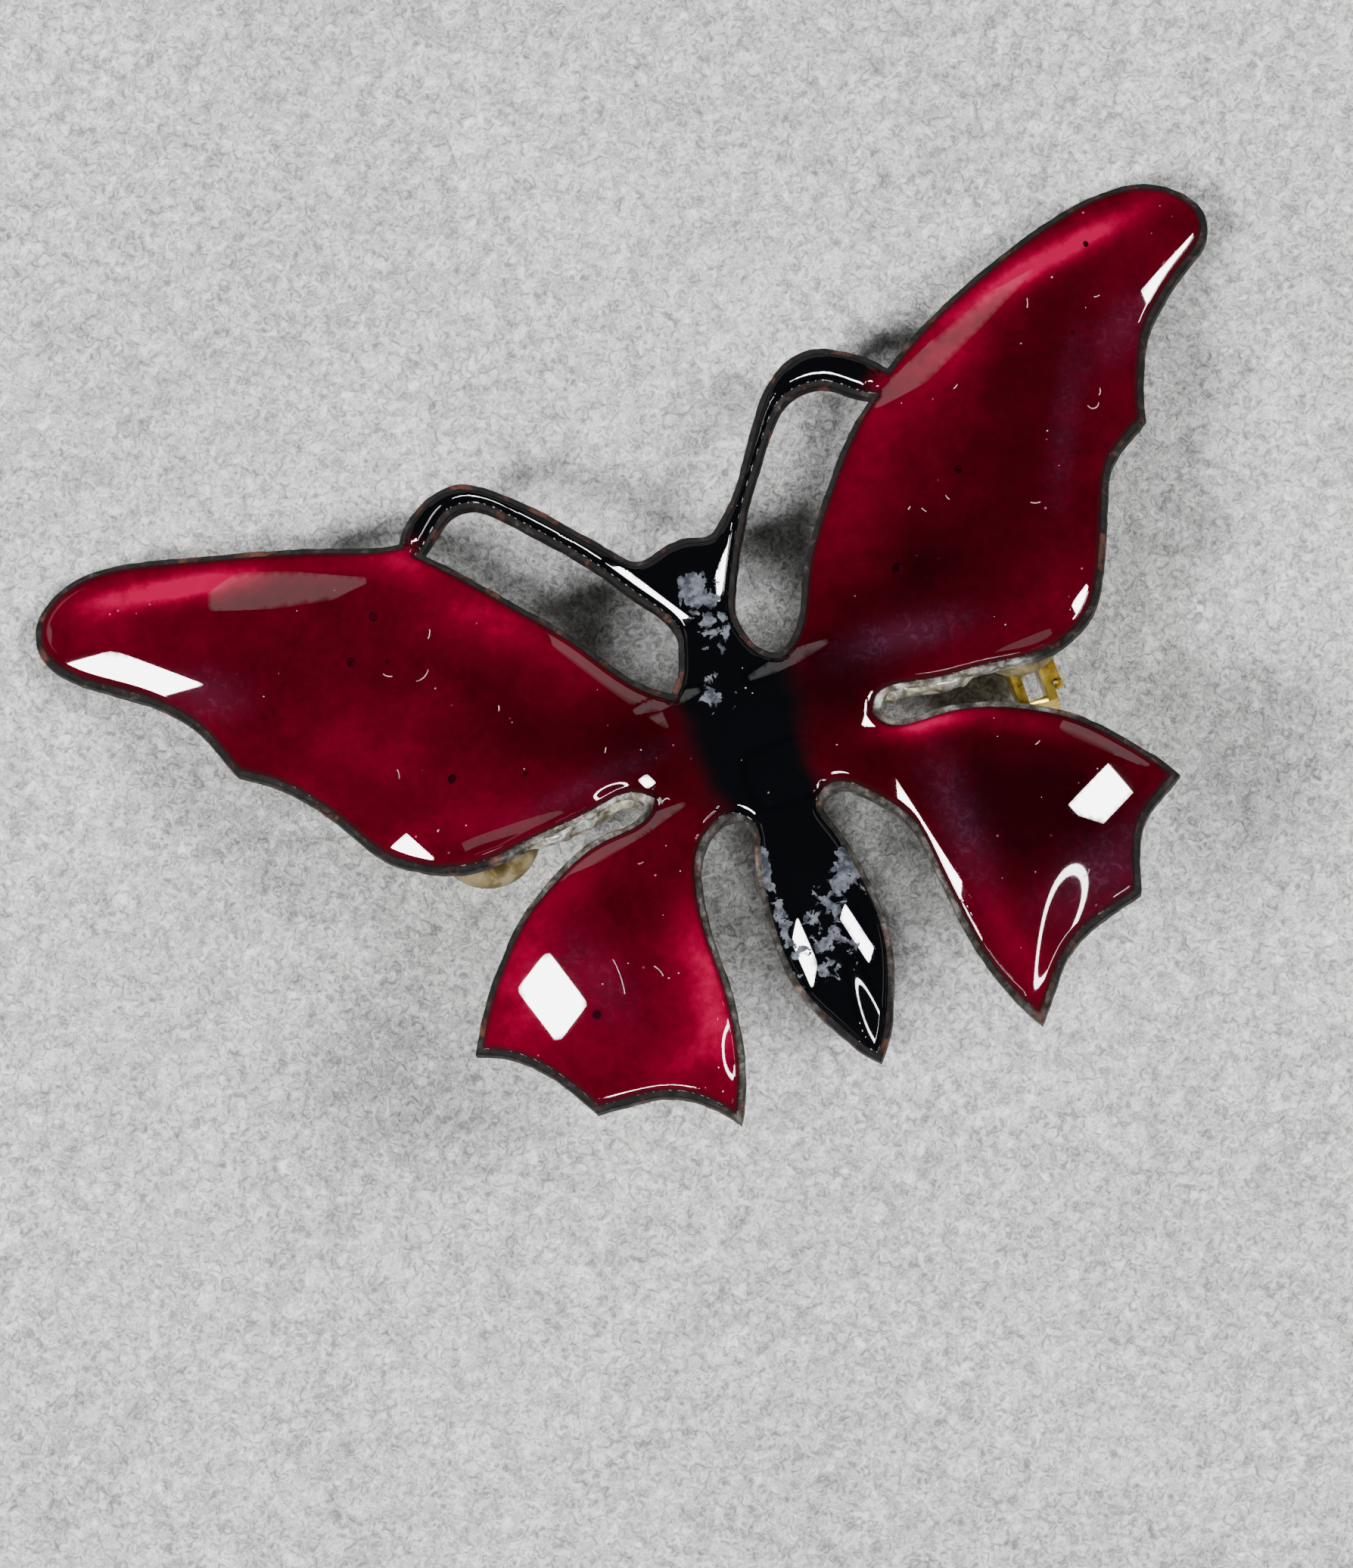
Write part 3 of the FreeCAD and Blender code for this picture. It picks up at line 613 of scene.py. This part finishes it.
def pool_lines():
    """Points along the two lines round each pool between which its hold on the glass ends."""
    angles = np.linspace(0, 2 * math.pi, POOL_LINE_POINTS, endpoint=False)
    lines = []
    for each in POOLS:
        turn = math.radians(each.direction)
        for far in POOL_EDGE:
            along = far / 2 * np.sign(np.cos(angles)) * np.sqrt(np.abs(np.cos(angles)))
            across = far / 2 * np.sign(np.sin(angles)) * np.sqrt(np.abs(np.sin(angles)))
            across = across * pool_width(each, along)
            along = along * each.length
            x = each.x + along * math.cos(turn) - across * math.sin(turn)
            y = each.y + along * math.sin(turn) + across * math.cos(turn)
            lines.append(resampled(np.column_stack([x, y]), POOL_EDGE_STEP))
    return np.vstack(lines)


def pool_slopes():
    """For each pool, the slopes that turn its light's reflection to the camera."""
    places = {"window": WINDOW["place"], "card": CARD["place"], "ring": RING["place"],
              "dark": DARK_PLACE}
    camera = bpy.context.scene.camera.location
    slopes = []
    for each in POOLS:
        x, y = each.x, each.y
        here = PLATE @ Vector((x, y, float(open_glass(np.array([x]), np.array([y]))[0])))
        halfway = (camera - here).normalized() + (Vector(places[each.light]) - here).normalized()
        normal = PLATE_INVERSE.to_3x3() @ halfway
        slopes.append((-normal.x / normal.z, -normal.y / normal.z))
    return slopes


def glass_normals(x, y, outer, slopes):
    """Unit normals of the glass: those of its form, and inside a pool those of the pool.

    Also returns the pools' hold on each point, and where the glass is dull, which is along the
    line where that hold ends.
    """
    step = SLOPE_STEP
    slope_x = (glass_top(x + step, y, outer) - glass_top(x - step, y, outer)) / (2 * step)
    slope_y = (glass_top(x, y + step, outer) - glass_top(x, y - step, outer)) / (2 * step)
    inland = smooth_step(*POOL_INLAND, outer.distance(x, y))
    dull = np.zeros_like(x)
    held = np.zeros_like(x)
    for each, (lit_x, lit_y) in zip(POOLS, slopes):
        along, across = turned(x, y, each.x, each.y, each.direction)
        along = along / each.length
        across = across / pool_width(each, along)
        turn = math.radians(each.direction)
        wanted_x = lit_x - LIT_SLOPE * (along * math.cos(turn) - across * math.sin(turn))
        wanted_y = lit_y - LIT_SLOPE * (along * math.sin(turn) + across * math.cos(turn))
        far = 2 * ((along ** 4 + across ** 4) ** 0.25)
        share = (1 - smooth_step(*POOL_EDGE, far)) * inland
        slope_x = slope_x * (1 - share) + wanted_x * share
        slope_y = slope_y * (1 - share) + wanted_y * share
        ending = (far > POOL_EDGE[0] - POOL_EDGE_MARGIN) & (far < POOL_EDGE[1] + POOL_EDGE_MARGIN)
        dull = np.maximum(dull * (1 - share), ending)
        held = np.maximum(held, share)
    normal = np.column_stack([-slope_x, -slope_y, np.ones_like(x)])
    return normal / np.linalg.norm(normal, axis=1, keepdims=True), held, dull


def make_glass(name, node, outer, border, black_side, slopes):
    """One area of the front glass, its rim turned down a little into the copper."""
    loops = [resampled(loop, EDGE_STEP) for loop in outline_loops(node)]
    points, triangles, count = plan_mesh(loops, GLASS_RINGS, GLASS_SPACING, pool_lines())
    x, y = points.T
    top = with_z(points, glass_top(x, y, outer))
    sunk = height(x[:count], y[:count]) + COPPER - SKIRT
    skirt = with_z(points[:count], sunk)
    rim = np.arange(count)
    faces = [tuple(t) for t in triangles] + wall_faces(loops, rim, len(points) + rim)
    piece = new_object(name, np.vstack([top, skirt]), faces)
    normals, held, dull = glass_normals(x, y, outer, slopes)
    turn = PLATE.to_3x3().normalized()
    row_normals = [turn @ Vector(n) for n in normals]
    row_normals += row_normals[:count]
    piece.data.normals_split_custom_set_from_vertices(row_normals)
    across = border.distance(x, y)
    signed = across if black_side else -across
    black = smooth_step(-FUSE_WIDTH, FUSE_WIDTH, signed + 0.12 * waves(x, y, 1.6, 12))
    depth = outer.distance(x, y)
    # Painted light and shade on the ruby, around its mean tone
    painted_light = PAINTED_LIGHT_MEAN + field(x, y, PAINTED_LIGHT_SPOTS)
    read_by_material = {"black": black, "depth": depth, "painted_light": painted_light, "held": held, "dull": dull,
                        "haze": field(x, y, HAZES), "worn": field(x, y, WORN)}
    for attribute, values in read_by_material.items():
        store(piece, attribute, np.concatenate([values, values[:count]]))
    piece.data.materials.append(glass_material())
    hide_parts(node)
    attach(piece, "brooch")


def tube(points, radius, sides=6):
    """Corners and faces of a thin round tube along some points."""
    corners = []
    faces = []
    for k, p in enumerate(points):
        along = (points[min(k + 1, len(points) - 1)] - points[max(k - 1, 0)])[:2]
        along /= np.linalg.norm(along)
        for i in range(sides):
            angle = 2 * math.pi * i / sides
            aside = radius * math.cos(angle)
            corners.append((p[0] - along[1] * aside, p[1] + along[0] * aside,
                            p[2] + radius * math.sin(angle)))
    for k in range(len(points) - 1):
        for i in range(sides):
            j = (i + 1) % sides
            faces.append((k * sides + i, (k + 1) * sides + i, (k + 1) * sides + j, k * sides + j))
    faces.append(tuple(range(sides)))
    faces.append(tuple(reversed(range(len(corners) - sides, len(corners)))))
    return corners, faces


def joined(name, parts, material):
    """One piece on the brooch from several meshes, each corners and faces."""
    corners = []
    faces = []
    for part_corners, part_faces in parts:
        start = len(corners)
        corners.extend(part_corners)
        faces.extend(tuple(start + v for v in face) for face in part_faces)
    piece = new_object(name, corners, faces)
    piece.data.materials.append(material)
    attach(piece, "brooch")
    return piece


def dome(x, y, z, radius, rise, sides=12):
    """Corners and faces of a small closed dome."""
    corners = [(x, y, z + rise), (x, y, z - rise)]
    for share, level in ((0.6, 0.75), (1.0, 0.0)):
        for k in range(sides):
            angle = 2 * math.pi * k / sides
            corners.append((x + share * radius * math.cos(angle),
                            y + share * radius * math.sin(angle), z + level * rise))
    faces = []
    for k in range(sides):
        inner, next_inner = 2 + k, 2 + (k + 1) % sides
        rim, next_rim = inner + sides, next_inner + sides
        faces += [(0, inner, next_inner), (inner, rim, next_rim, next_inner), (1, next_rim, rim)]
    return corners, faces


def make_bubbles(outer):
    parts = []
    for x, y, radius in BUBBLES:
        z = float(glass_top(np.array([x]), np.array([y]), outer)[0])
        parts.append(dome(x, y, z - BUBBLE_SINK, radius, BUBBLE_RISE))
    piece = joined("glass_bubbles", parts, bubble_material())


def make_lint(outer, glass_loops):
    """Short fibres and specks of dust that lie on the glass."""
    parts = []
    for x, y, length, direction, bend in LINT:
        steps = np.linspace(-0.5, 0.5, LINT_POINTS)
        headings = np.radians(direction + bend * steps)
        px = x + np.cumsum(np.cos(headings)) * length / len(steps)
        py = y + np.cumsum(np.sin(headings)) * length / len(steps)
        pz = glass_top(px, py, outer) + LINT_RADIUS
        parts.append(tube(np.column_stack([px, py, pz]), LINT_RADIUS))
    random = np.random.default_rng(SPECK_SEED)
    x = random.uniform(-HALF_SPAN, HALF_SPAN, SPECK_COUNT)
    y = random.uniform(*SPECK_ROWS, SPECK_COUNT)
    radius = random.uniform(*SPECK_RADIUS, SPECK_COUNT)
    on_glass = inside(x, y, glass_loops) & (outer.distance(x, y) > SPECK_INLAND)
    z = glass_top(x, y, outer)
    for k in np.flatnonzero(on_glass):
        parts.append(dome(x[k], y[k], z[k], radius[k], SPECK_RISE, sides=5))
    piece = joined("lint", parts, lint_material())


def spill_line(side, reach):
    """Points, a step apart, on the edge of a forewing beside its slit."""
    edge = Near(dense(outline_loops("copper_blank")))
    start, end = reach
    count = int((end - start) / SPILL_STEP)
    line = []
    for k in range(count + 1):
        x = side * (start + (end - start) * k / count)
        y = float(slit_middle(np.array([x]))[0])
        while float(edge.distance([x], [y])[0]) > 2 * EDGE_SEARCH and y < 0.0:
            y += EDGE_SEARCH
        line.append((x, y))
    return np.array(line).T


def make_spill(name, side, reach):
    """Lumpy pale scale and glass down the wall of a forewing beside its slit."""
    x, y = spill_line(side, reach)
    top = height(x, y + 0.1) + COPPER
    share = np.linspace(0, 1, len(x))
    swell = smooth_step(0, SPILL_ENDS[0], share) * (1 - smooth_step(SPILL_ENDS[1], 1, share))
    out, down = SPILL_HALF_SIZE
    sides = SPILL_SIDES
    corners = []
    for k in range(len(x)):
        for i in range(sides):
            angle = 2 * math.pi * i / sides
            bumps = waves(x[k:k + 1] + 0.4 * i, y[k:k + 1] + 0.7 * math.sin(angle), 1.1, 21)[0]
            size = max(SPILL_LEAST, swell[k]) * (1 + SPILL_LUMPS * float(bumps))
            corners.append((x[k], y[k] + SPILL_OUT + out * size * math.cos(angle),
                            top[k] - SPILL_DROP + down * size * math.sin(angle)))
    rings = np.arange(len(corners)).reshape(-1, sides)
    faces = []
    for ring, next_ring in zip(rings, rings[1:]):
        faces += wall_faces([ring], next_ring, ring)
    faces.append(tuple(range(sides)))
    faces.append(tuple(reversed(range(len(corners) - sides, len(corners)))))
    piece = joined(name, [(corners, faces)], spill_material())


def make_back_glass():
    """The glass on the back, thinner and rougher than the front."""
    loops = [resampled(loop, EDGE_STEP * 1.5) for loop in outline_loops("counter_enamel")]
    points, triangles, count = plan_mesh(loops, BACK_RINGS, BACK_SPACING)
    near = Near(dense(loops))
    x, y = points.T
    depth = near.distance(x, y)
    depth[:count] = 0.0
    part = np.clip(depth / BACK_ROUND, 0, 1)
    swell = np.sqrt(np.clip(1 - (1 - part) ** 2, 0, 1))
    thickness = COUNTER * (BACK_EDGE + BACK_GAIN * swell) + 0.015 * waves(x, y, 1.4, 6) * part
    bottom = with_z(points, height(x, y) - thickness)
    skirt = with_z(points[:count], height(x[:count], y[:count]) + SKIRT)
    rim = np.arange(count)
    faces = [tuple(reversed(t)) for t in triangles] + wall_faces(loops, len(points) + rim, rim)
    piece = new_object("back_glass", np.vstack([bottom, skirt]), faces)
    piece.data.materials.append(back_glass_material())
    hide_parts("counter_enamel")
    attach(piece, "brooch")


# ---- materials

class Nodes:
    """Short names for the nodes that the materials share."""

    def __init__(self, name):
        self.material = bpy.data.materials.new(name)
        self.material.use_nodes = True
        self.tree = self.material.node_tree
        self.shader = self.tree.nodes["Principled BSDF"]
        self.place = self.add("ShaderNodeTexCoord").outputs["Object"]

    def add(self, kind, **values):
        node = self.tree.nodes.new(kind)
        for key, value in values.items():
            setattr(node, key, value)
        return node

    def put(self, value, socket):
        """Give a socket a colour, a number or a link."""
        if isinstance(value, tuple):
            socket.default_value = (*value, 1.0)
        elif isinstance(value, (int, float)):
            socket.default_value = value
        else:
            self.tree.links.new(value, socket)

    def fill(self, node, **values):
        """Give the sockets of a node their values, by name."""
        for name, value in values.items():
            self.put(value, node.inputs[name.replace("_", " ")])

    def set(self, **values):
        self.fill(self.shader, **values)

    def noise(self, scale, detail=4.0, roughness=0.55, distortion=0.0):
        node = self.add("ShaderNodeTexNoise")
        self.fill(node, Vector=self.place, Scale=scale, Detail=detail, Roughness=roughness,
                  Distortion=distortion)
        return node.outputs["Fac"]

    def cells(self, scale):
        node = self.add("ShaderNodeTexVoronoi")
        self.fill(node, Vector=self.place, Scale=scale)
        return node.outputs["Distance"]

    def attribute(self, name):
        return self.add("ShaderNodeAttribute", attribute_name=name).outputs["Fac"]

    def ramp(self, value, *stops):
        """Colours or greys at positions along a value."""
        node = self.add("ShaderNodeValToRGB")
        band = node.color_ramp
        while len(band.elements) < len(stops):
            band.elements.new(0.5)
        for element, (position, colour) in zip(band.elements, stops):
            element.position = position
            if not isinstance(colour, tuple):
                colour = (colour, colour, colour)
            element.color = (*colour, 1.0)
        self.fill(node, Fac=value)
        return node.outputs["Color"]

    def mix(self, factor, first, second):
        """Colour mix; each of first and second is a socket or a colour."""
        node = self.add("ShaderNodeMix", data_type="RGBA")
        self.fill(node, Factor=factor, A=first, B=second)
        return node.outputs["Result"]

    def math(self, operation, first, second=0.0):
        node = self.add("ShaderNodeMath", operation=operation)
        self.put(first, node.inputs[0])
        self.put(second, node.inputs[1])
        return node.outputs[0]

    def bump(self, value, distance, strength=1.0):
        node = self.add("ShaderNodeBump")
        self.fill(node, Distance=distance, Strength=strength, Height=value)
        return node.outputs["Normal"]


@cache
def glass_material():
    """Ruby glass with painted light and shade, turning to black along the body, with worn grey flakes
    in the black.
    """
    n = Nodes("vitreous_enamel")
    grain = n.noise(2600.0, 4.0, 0.6)
    cloud = n.noise(420.0, 6.0, 0.62, 0.3)
    cloudy = n.math("MULTIPLY", n.math("SUBTRACT", cloud, 0.5), 0.55)
    grainy = n.math("MULTIPLY", n.math("SUBTRACT", grain, 0.5), 0.22)
    # The ruby's tone: painted light and shade from its spots, with random cloud and grain
    bright = n.math("ADD", n.attribute("painted_light"), n.math("ADD", cloudy, grainy))
    ruby = n.ramp(bright, (0.0, (0.011, 0.0, 0.001)), (0.30, (0.032, 0.0, 0.0022)),
                  (0.50, (0.060, 0.0, 0.0045)), (0.72, (0.110, 0.0, 0.009)),
                  (0.90, (0.22, 0.0, 0.022)), (1.0, (0.32, 0.001, 0.038)))
    bubble = n.ramp(n.cells(330.0), (0.055, 1.0), (0.085, 0.0))
    few = n.ramp(n.noise(260.0, 2.0), (0.56, 0.0), (0.60, 1.0))
    ruby = n.mix(n.math("MULTIPLY", bubble, few), ruby, (0.012, 0.0, 0.002))
    fleck = n.ramp(n.cells(1150.0), (0.045, 1.0), (0.075, 0.0))
    some = n.ramp(n.noise(520.0, 2.0), (0.57, 0.0), (0.62, 1.0))
    flecks = n.math("MULTIPLY", n.math("MULTIPLY", fleck, some), 0.55)
    ruby = n.mix(flecks, ruby, (0.55, 0.12, 0.18))
    scratch = n.ramp(n.noise(1900.0, 5.0, 0.7, 1.2), (0.50, 0.0), (0.66, 1.0))
    scratched = n.math("ADD", n.math("MULTIPLY", scratch, 0.35), 0.16)
    haze = n.math("MULTIPLY", n.attribute("haze"), scratched)
    ruby = n.mix(haze, ruby, (0.16, 0.07, 0.16))
    edge = n.ramp(n.attribute("depth"), (0.0, 1.0), (0.22, 0.0))
    ruby = n.mix(n.math("MULTIPLY", edge, 0.85), ruby, (0.018, 0.006, 0.007))
    black = n.attribute("black")
    colour = n.mix(black, ruby, (0.0015, 0.0016, 0.0022))
    wear = n.math("MULTIPLY", n.math("SUBTRACT", n.attribute("worn"), 1.0), 0.4)
    chips = n.math("ADD", n.noise(1500.0, 4.0, 0.6, 0.4), wear)
    flake = n.math("MULTIPLY", n.ramp(chips, (0.46, 0.0), (0.485, 1.0)), black)
    grey = n.ramp(n.noise(2600.0, 5.0), (0.40, (0.035, 0.040, 0.050)), (0.60, (0.135, 0.145, 0.17)))
    colour = n.mix(flake, colour, grey)
    shine = n.math("SUBTRACT", 1.0, n.math("MAXIMUM", flake, n.attribute("dull")))
    thin_edge = n.math("MULTIPLY", black, n.ramp(n.attribute("depth"), (0.08, 0.15), (0.18, 1.0)))
    red_edge = n.ramp(n.attribute("depth"), (0.24, 0.05), (0.40, 1.0))
    edge_shine = n.math("MAXIMUM", n.math("MAXIMUM", thin_edge, red_edge), n.attribute("held"))
    shine = n.math("MULTIPLY", shine, edge_shine)
    n.set(Base_Color=colour, Roughness=0.55, Coat_IOR=1.52, Coat_Weight=shine,
          Coat_Roughness=0.02, Specular_IOR_Level=0.0,
          Normal=n.bump(n.math("ADD", grain, flake), 0.00002, 0.6))
    return n.material


@cache
def copper_material():
    """Copper under dark firescale, with pale grey scale and red metal where it is worn."""
    n = Nodes("fired_copper")
    grit = n.noise(1500.0, 8.0, 0.7, 0.3)
    blotch = n.noise(700.0, 5.0, 0.6, 0.6)
    dark = n.ramp(grit, (0.38, 0.002), (0.56, (0.009, 0.006, 0.006)),
                  (0.66, (0.035, 0.027, 0.024)), (0.78, (0.16, 0.14, 0.13)))
    red_metal = n.ramp(grit, (0.3, (0.022, 0.007, 0.004)), (0.7, (0.13, 0.045, 0.028)))
    colour = n.mix(n.ramp(blotch, (0.56, 0.0), (0.64, 1.0)), dark, red_metal)
    pale = n.ramp(grit, (0.40, (0.045, 0.035, 0.028)), (0.50, (0.16, 0.145, 0.12)),
                  (0.62, (0.48, 0.48, 0.46)))
    scaly = n.math("MULTIPLY", n.attribute("pale"), n.ramp(blotch, (0.38, 0.45), (0.52, 1.0)))
    colour = n.mix(scaly, colour, pale)
    n.set(Base_Color=colour, Metallic=0.1, Roughness=n.ramp(grit, (0.3, 0.62), (0.75, 0.40)),
          Specular_IOR_Level=0.2, Normal=n.bump(grit, 0.00016))
    return n.material


@cache
def bubble_material():
    n = Nodes("glass_bubble")
    n.set(Base_Color=n.ramp(n.noise(3000.0), (0.4, (0.006, 0.0, 0.001)), (0.6, (0.03, 0.0, 0.004))),
          Roughness=0.6, Specular_IOR_Level=0.0)
    return n.material


@cache
def lint_material():
    n = Nodes("lint")
    n.set(Base_Color=n.ramp(n.noise(2500.0), (0.4, (0.30, 0.16, 0.17)), (0.6, (0.62, 0.52, 0.50))),
          Roughness=0.9)
    return n.material


@cache
def spill_material():
    """Grey and olive scale with bits of clear glass in it."""
    n = Nodes("scaled_glass")
    grit = n.noise(1700.0, 7.0, 0.72, 0.8)
    blotch = n.noise(900.0, 4.0, 0.6, 0.5)
    olive = n.ramp(grit, (0.36, (0.020, 0.017, 0.010)), (0.50, (0.15, 0.135, 0.085)),
                   (0.64, (0.40, 0.38, 0.29)))
    grey = n.ramp(grit, (0.38, 0.035), (0.52, (0.20, 0.20, 0.19)),
                  (0.64, (0.60, 0.60, 0.58)))
    n.set(Base_Color=n.mix(n.ramp(blotch, (0.48, 0.0), (0.60, 1.0)), olive, grey),
          Roughness=n.ramp(grit, (0.3, 0.6), (0.7, 0.25)), Coat_Weight=0.5,
          Coat_Roughness=0.08, Normal=n.bump(grit, 0.00012, 0.9))
    return n.material


@cache
def back_glass_material():
    """Mottled dark counter enamel with pits."""
    n = Nodes("counter_enamel")
    cloud = n.noise(320.0, 7.0, 0.65, 1.2)
    colour = n.ramp(cloud, (0.32, (0.012, 0.010, 0.016)), (0.50, (0.055, 0.028, 0.035)),
                    (0.60, (0.12, 0.10, 0.085)), (0.74, (0.22, 0.20, 0.17)))
    pits = n.ramp(n.cells(900.0), (0.08, 1.0), (0.2, 0.0))
    colour = n.mix(pits, colour, (0.01, 0.009, 0.01))
    n.set(Base_Color=colour, Roughness=n.ramp(cloud, (0.3, 0.16), (0.7, 0.42)),
          Coat_Weight=0.5, Coat_Roughness=0.12, Normal=n.bump(cloud, 0.00008, 0.8))
    return n.material


@cache
def brass_material():
    """Bright stamped brass with a little tarnish and fine scratches."""
    n = Nodes("stamped_brass")
    stain = n.noise(900.0, 5.0, 0.6, 0.5)
    fine = n.noise(5000.0, 4.0, 0.7)
    colour = n.ramp(stain, (0.34, (0.11, 0.07, 0.008)), (0.48, (0.55, 0.36, 0.04)),
                    (0.68, (0.85, 0.62, 0.11)))
    n.set(Base_Color=colour, Metallic=0.75, Roughness=n.ramp(stain, (0.3, 0.36), (0.7, 0.20)),
          Normal=n.bump(fine, 0.00002, 0.5))
    return n.material


@cache
def glue_material():
    """Old clear epoxy, yellowed and cloudy."""
    n = Nodes("yellowed_epoxy")
    cloud = n.noise(900.0, 5.0, 0.6, 0.5)
    colour = n.ramp(cloud, (0.38, (0.035, 0.022, 0.006)), (0.5, (0.10, 0.075, 0.032)),
                    (0.62, (0.19, 0.155, 0.085)))
    n.set(Base_Color=colour, Roughness=0.45, IOR=1.5, Specular_IOR_Level=0.3,
          Normal=n.bump(cloud, 0.00008, 0.7))
    return n.material


@cache
def felt_material():
    """Pale grey felt with short fibres."""
    n = Nodes("grey_felt")
    fibre = n.noise(2600.0, 6.0, 0.75, 1.4)
    clump = n.noise(900.0, 4.0, 0.6, 0.8)
    soft = n.noise(60.0, 3.0, 0.5)
    colour = n.ramp(fibre, (0.38, (0.27, 0.275, 0.27)), (0.50, (0.60, 0.605, 0.595)),
                    (0.62, (0.93, 0.93, 0.92)))
    for value, low, high in ((clump, 0.74, 1.16), (soft, 0.92, 1.05)):
        colour = n.mix(1.0, colour, n.ramp(value, (0.36, low), (0.64, high)))
        colour.node.blend_type = "MULTIPLY"
        colour.node.clamp_result = False
    n.set(Base_Color=colour, Roughness=0.95, Specular_IOR_Level=0.1,
          Normal=n.bump(n.math("ADD", fibre, clump), 0.00022, 0.7))
    return n.material


# ---- findings and glue

def dressed(name, material):
    """A CAD piece, with its material in place of the plain one."""
    piece = frame["nodes"][name]
    piece.data.materials.clear()
    piece.data.materials.append(material)
    return piece


def dress_findings():
    """The CAD's brass pieces, with softened edges."""
    for name in ("joint_base", "joint_rivet", "catch_base", "catch_rotor", "pin_stem"):
        piece = dressed(name, brass_material())
        weld = piece.modifiers.new("weld", "WELD")
        weld.merge_threshold = WELD_DISTANCE
        bevel = piece.modifiers.new("soft_edges", "BEVEL")
        bevel.width = BEVEL_WIDTH
        bevel.segments = 2
        bevel.limit_method = "ANGLE"
        bevel.angle_limit = math.radians(BEVEL_ANGLE)
        bevel.harden_normals = True
        piece.data.polygons.foreach_set("use_smooth", [True] * len(piece.data.polygons))


def dress_glue():
    for name in ("glue_joint", "glue_catch"):
        dressed(name, glue_material())


# ---- room

def make_floor():
    half = FLOOR_HALF
    mesh = bpy.data.meshes.new("floor")
    mesh.from_pydata([(-half, -half, 0), (half, -half, 0), (half, half, 0), (-half, half, 0)], [],
                     [(0, 1, 2, 3)])
    mesh.materials.append(felt_material())
    floor = add_object("floor", mesh)


def aim(item, place):
    """Put a light at a place and turn it to the brooch."""
    item.location = place
    item.rotation_mode = "QUATERNION"
    item.rotation_quaternion = (Vector(TARGET) - Vector(place)).to_track_quat("-Z", "Y")


def add_light(name, place, size, power):
    data = bpy.data.lights.new(name, "AREA")
    data.shape = "RECTANGLE"
    data.size, data.size_y = size
    data.energy = power
    light = add_object(name, data)
    aim(light, place)
    return light


def make_lights():
    world = bpy.data.worlds.new("studio")
    bpy.context.scene.world = world
    world.use_nodes = True
    background = world.node_tree.nodes["Background"]
    background.inputs["Color"].default_value = SKY_COLOUR
    background.inputs["Strength"].default_value = SKY_STRENGTH
    for name, (place, power) in SOFT_LIGHTS.items():
        soft = add_light(name, place, SOFT_SIZE, power)
        soft.visible_glossy = False
    for name, light in (("window", WINDOW), ("card", CARD)):
        shown = add_light(name, light["place"], light["size"], light["power"])
        shown.visible_diffuse = False
    for k in range(BANKS["count"]):
        angle = 2 * math.pi * k / BANKS["count"]
        place = (BANKS["distance"] * math.cos(angle), BANKS["distance"] * math.sin(angle),
                 BANKS["height"])
        bank = add_light("bank_%d" % k, place, BANKS["size"], BANKS["power"])
        bank.visible_diffuse = False
        bank.visible_camera = False
    make_ring_light()


def make_ring_light():
    """A ring that shows as a thin loop in the glass."""
    points = []
    faces = []
    for k in range(RING_SIDES):
        angle = 2 * math.pi * k / RING_SIDES
        points += [(r * math.cos(angle), r * math.sin(angle), 0) for r in RING["radii"]]
        a = 2 * k
        b = 2 * ((k + 1) % RING_SIDES)
        faces.append((a, a + 1, b + 1, b))
    mesh = bpy.data.meshes.new("ring_light")
    mesh.from_pydata(points, [], faces)
    ring = add_object("ring_light", mesh)
    aim(ring, RING["place"])
    ring.visible_diffuse = False
    ring.visible_shadow = False
    n = Nodes("ring_light")
    n.set(Base_Color=(0, 0, 0), Emission_Color=(1, 1, 1), Emission_Strength=RING["strength"])
    mesh.materials.append(n.material)


def make_camera():
    data = bpy.data.cameras.new("camera")
    data.sensor_width = SENSOR
    data.lens = SENSOR * VIEW_DISTANCE / VIEW_HEIGHT
    data.clip_start, data.clip_end = CLIP
    camera = add_object("camera", data)
    origin = PLATE @ Vector((0, 0, 0))
    camera.location = (origin.x + VIEW_CENTRE[0] * MM, origin.y + VIEW_CENTRE[1] * MM,
                       (VIEW_PLANE + VIEW_DISTANCE) * MM)
    camera.rotation_euler = (0, 0, -math.radians(VIEW_TURN))
    bpy.context.scene.camera = camera


def main():
    make_camera()
    sheet_loops = [resampled(loop, EDGE_STEP) for loop in outline_loops("copper_blank")]
    sheet_edge = Near(dense(sheet_loops))
    glass_nodes = ("ruby_enamel_left", "ruby_enamel_right", "black_enamel")
    glass_loops = [loop for node in glass_nodes for loop in outline_loops(node)]
    glass_edges = dense(glass_loops)
    at_sheet = sheet_edge.distance(*glass_edges.T) < SHEET_EDGE_REACH
    outer = Near(glass_edges[at_sheet])
    border = Near(glass_edges[~at_sheet])
    slopes = pool_slopes()
    make_copper(sheet_loops)
    make_glass("ruby_glass_left", "ruby_enamel_left", outer, border, False, slopes)
    make_glass("ruby_glass_right", "ruby_enamel_right", outer, border, False, slopes)
    make_glass("black_glass", "black_enamel", outer, border, True, slopes)
    make_bubbles(outer)
    make_lint(outer, glass_loops)
    for name, (side, reach) in SPILLS.items():
        make_spill(name, side, reach)
    make_back_glass()
    dress_findings()
    dress_glue()
    make_floor()
    make_lights()


main()
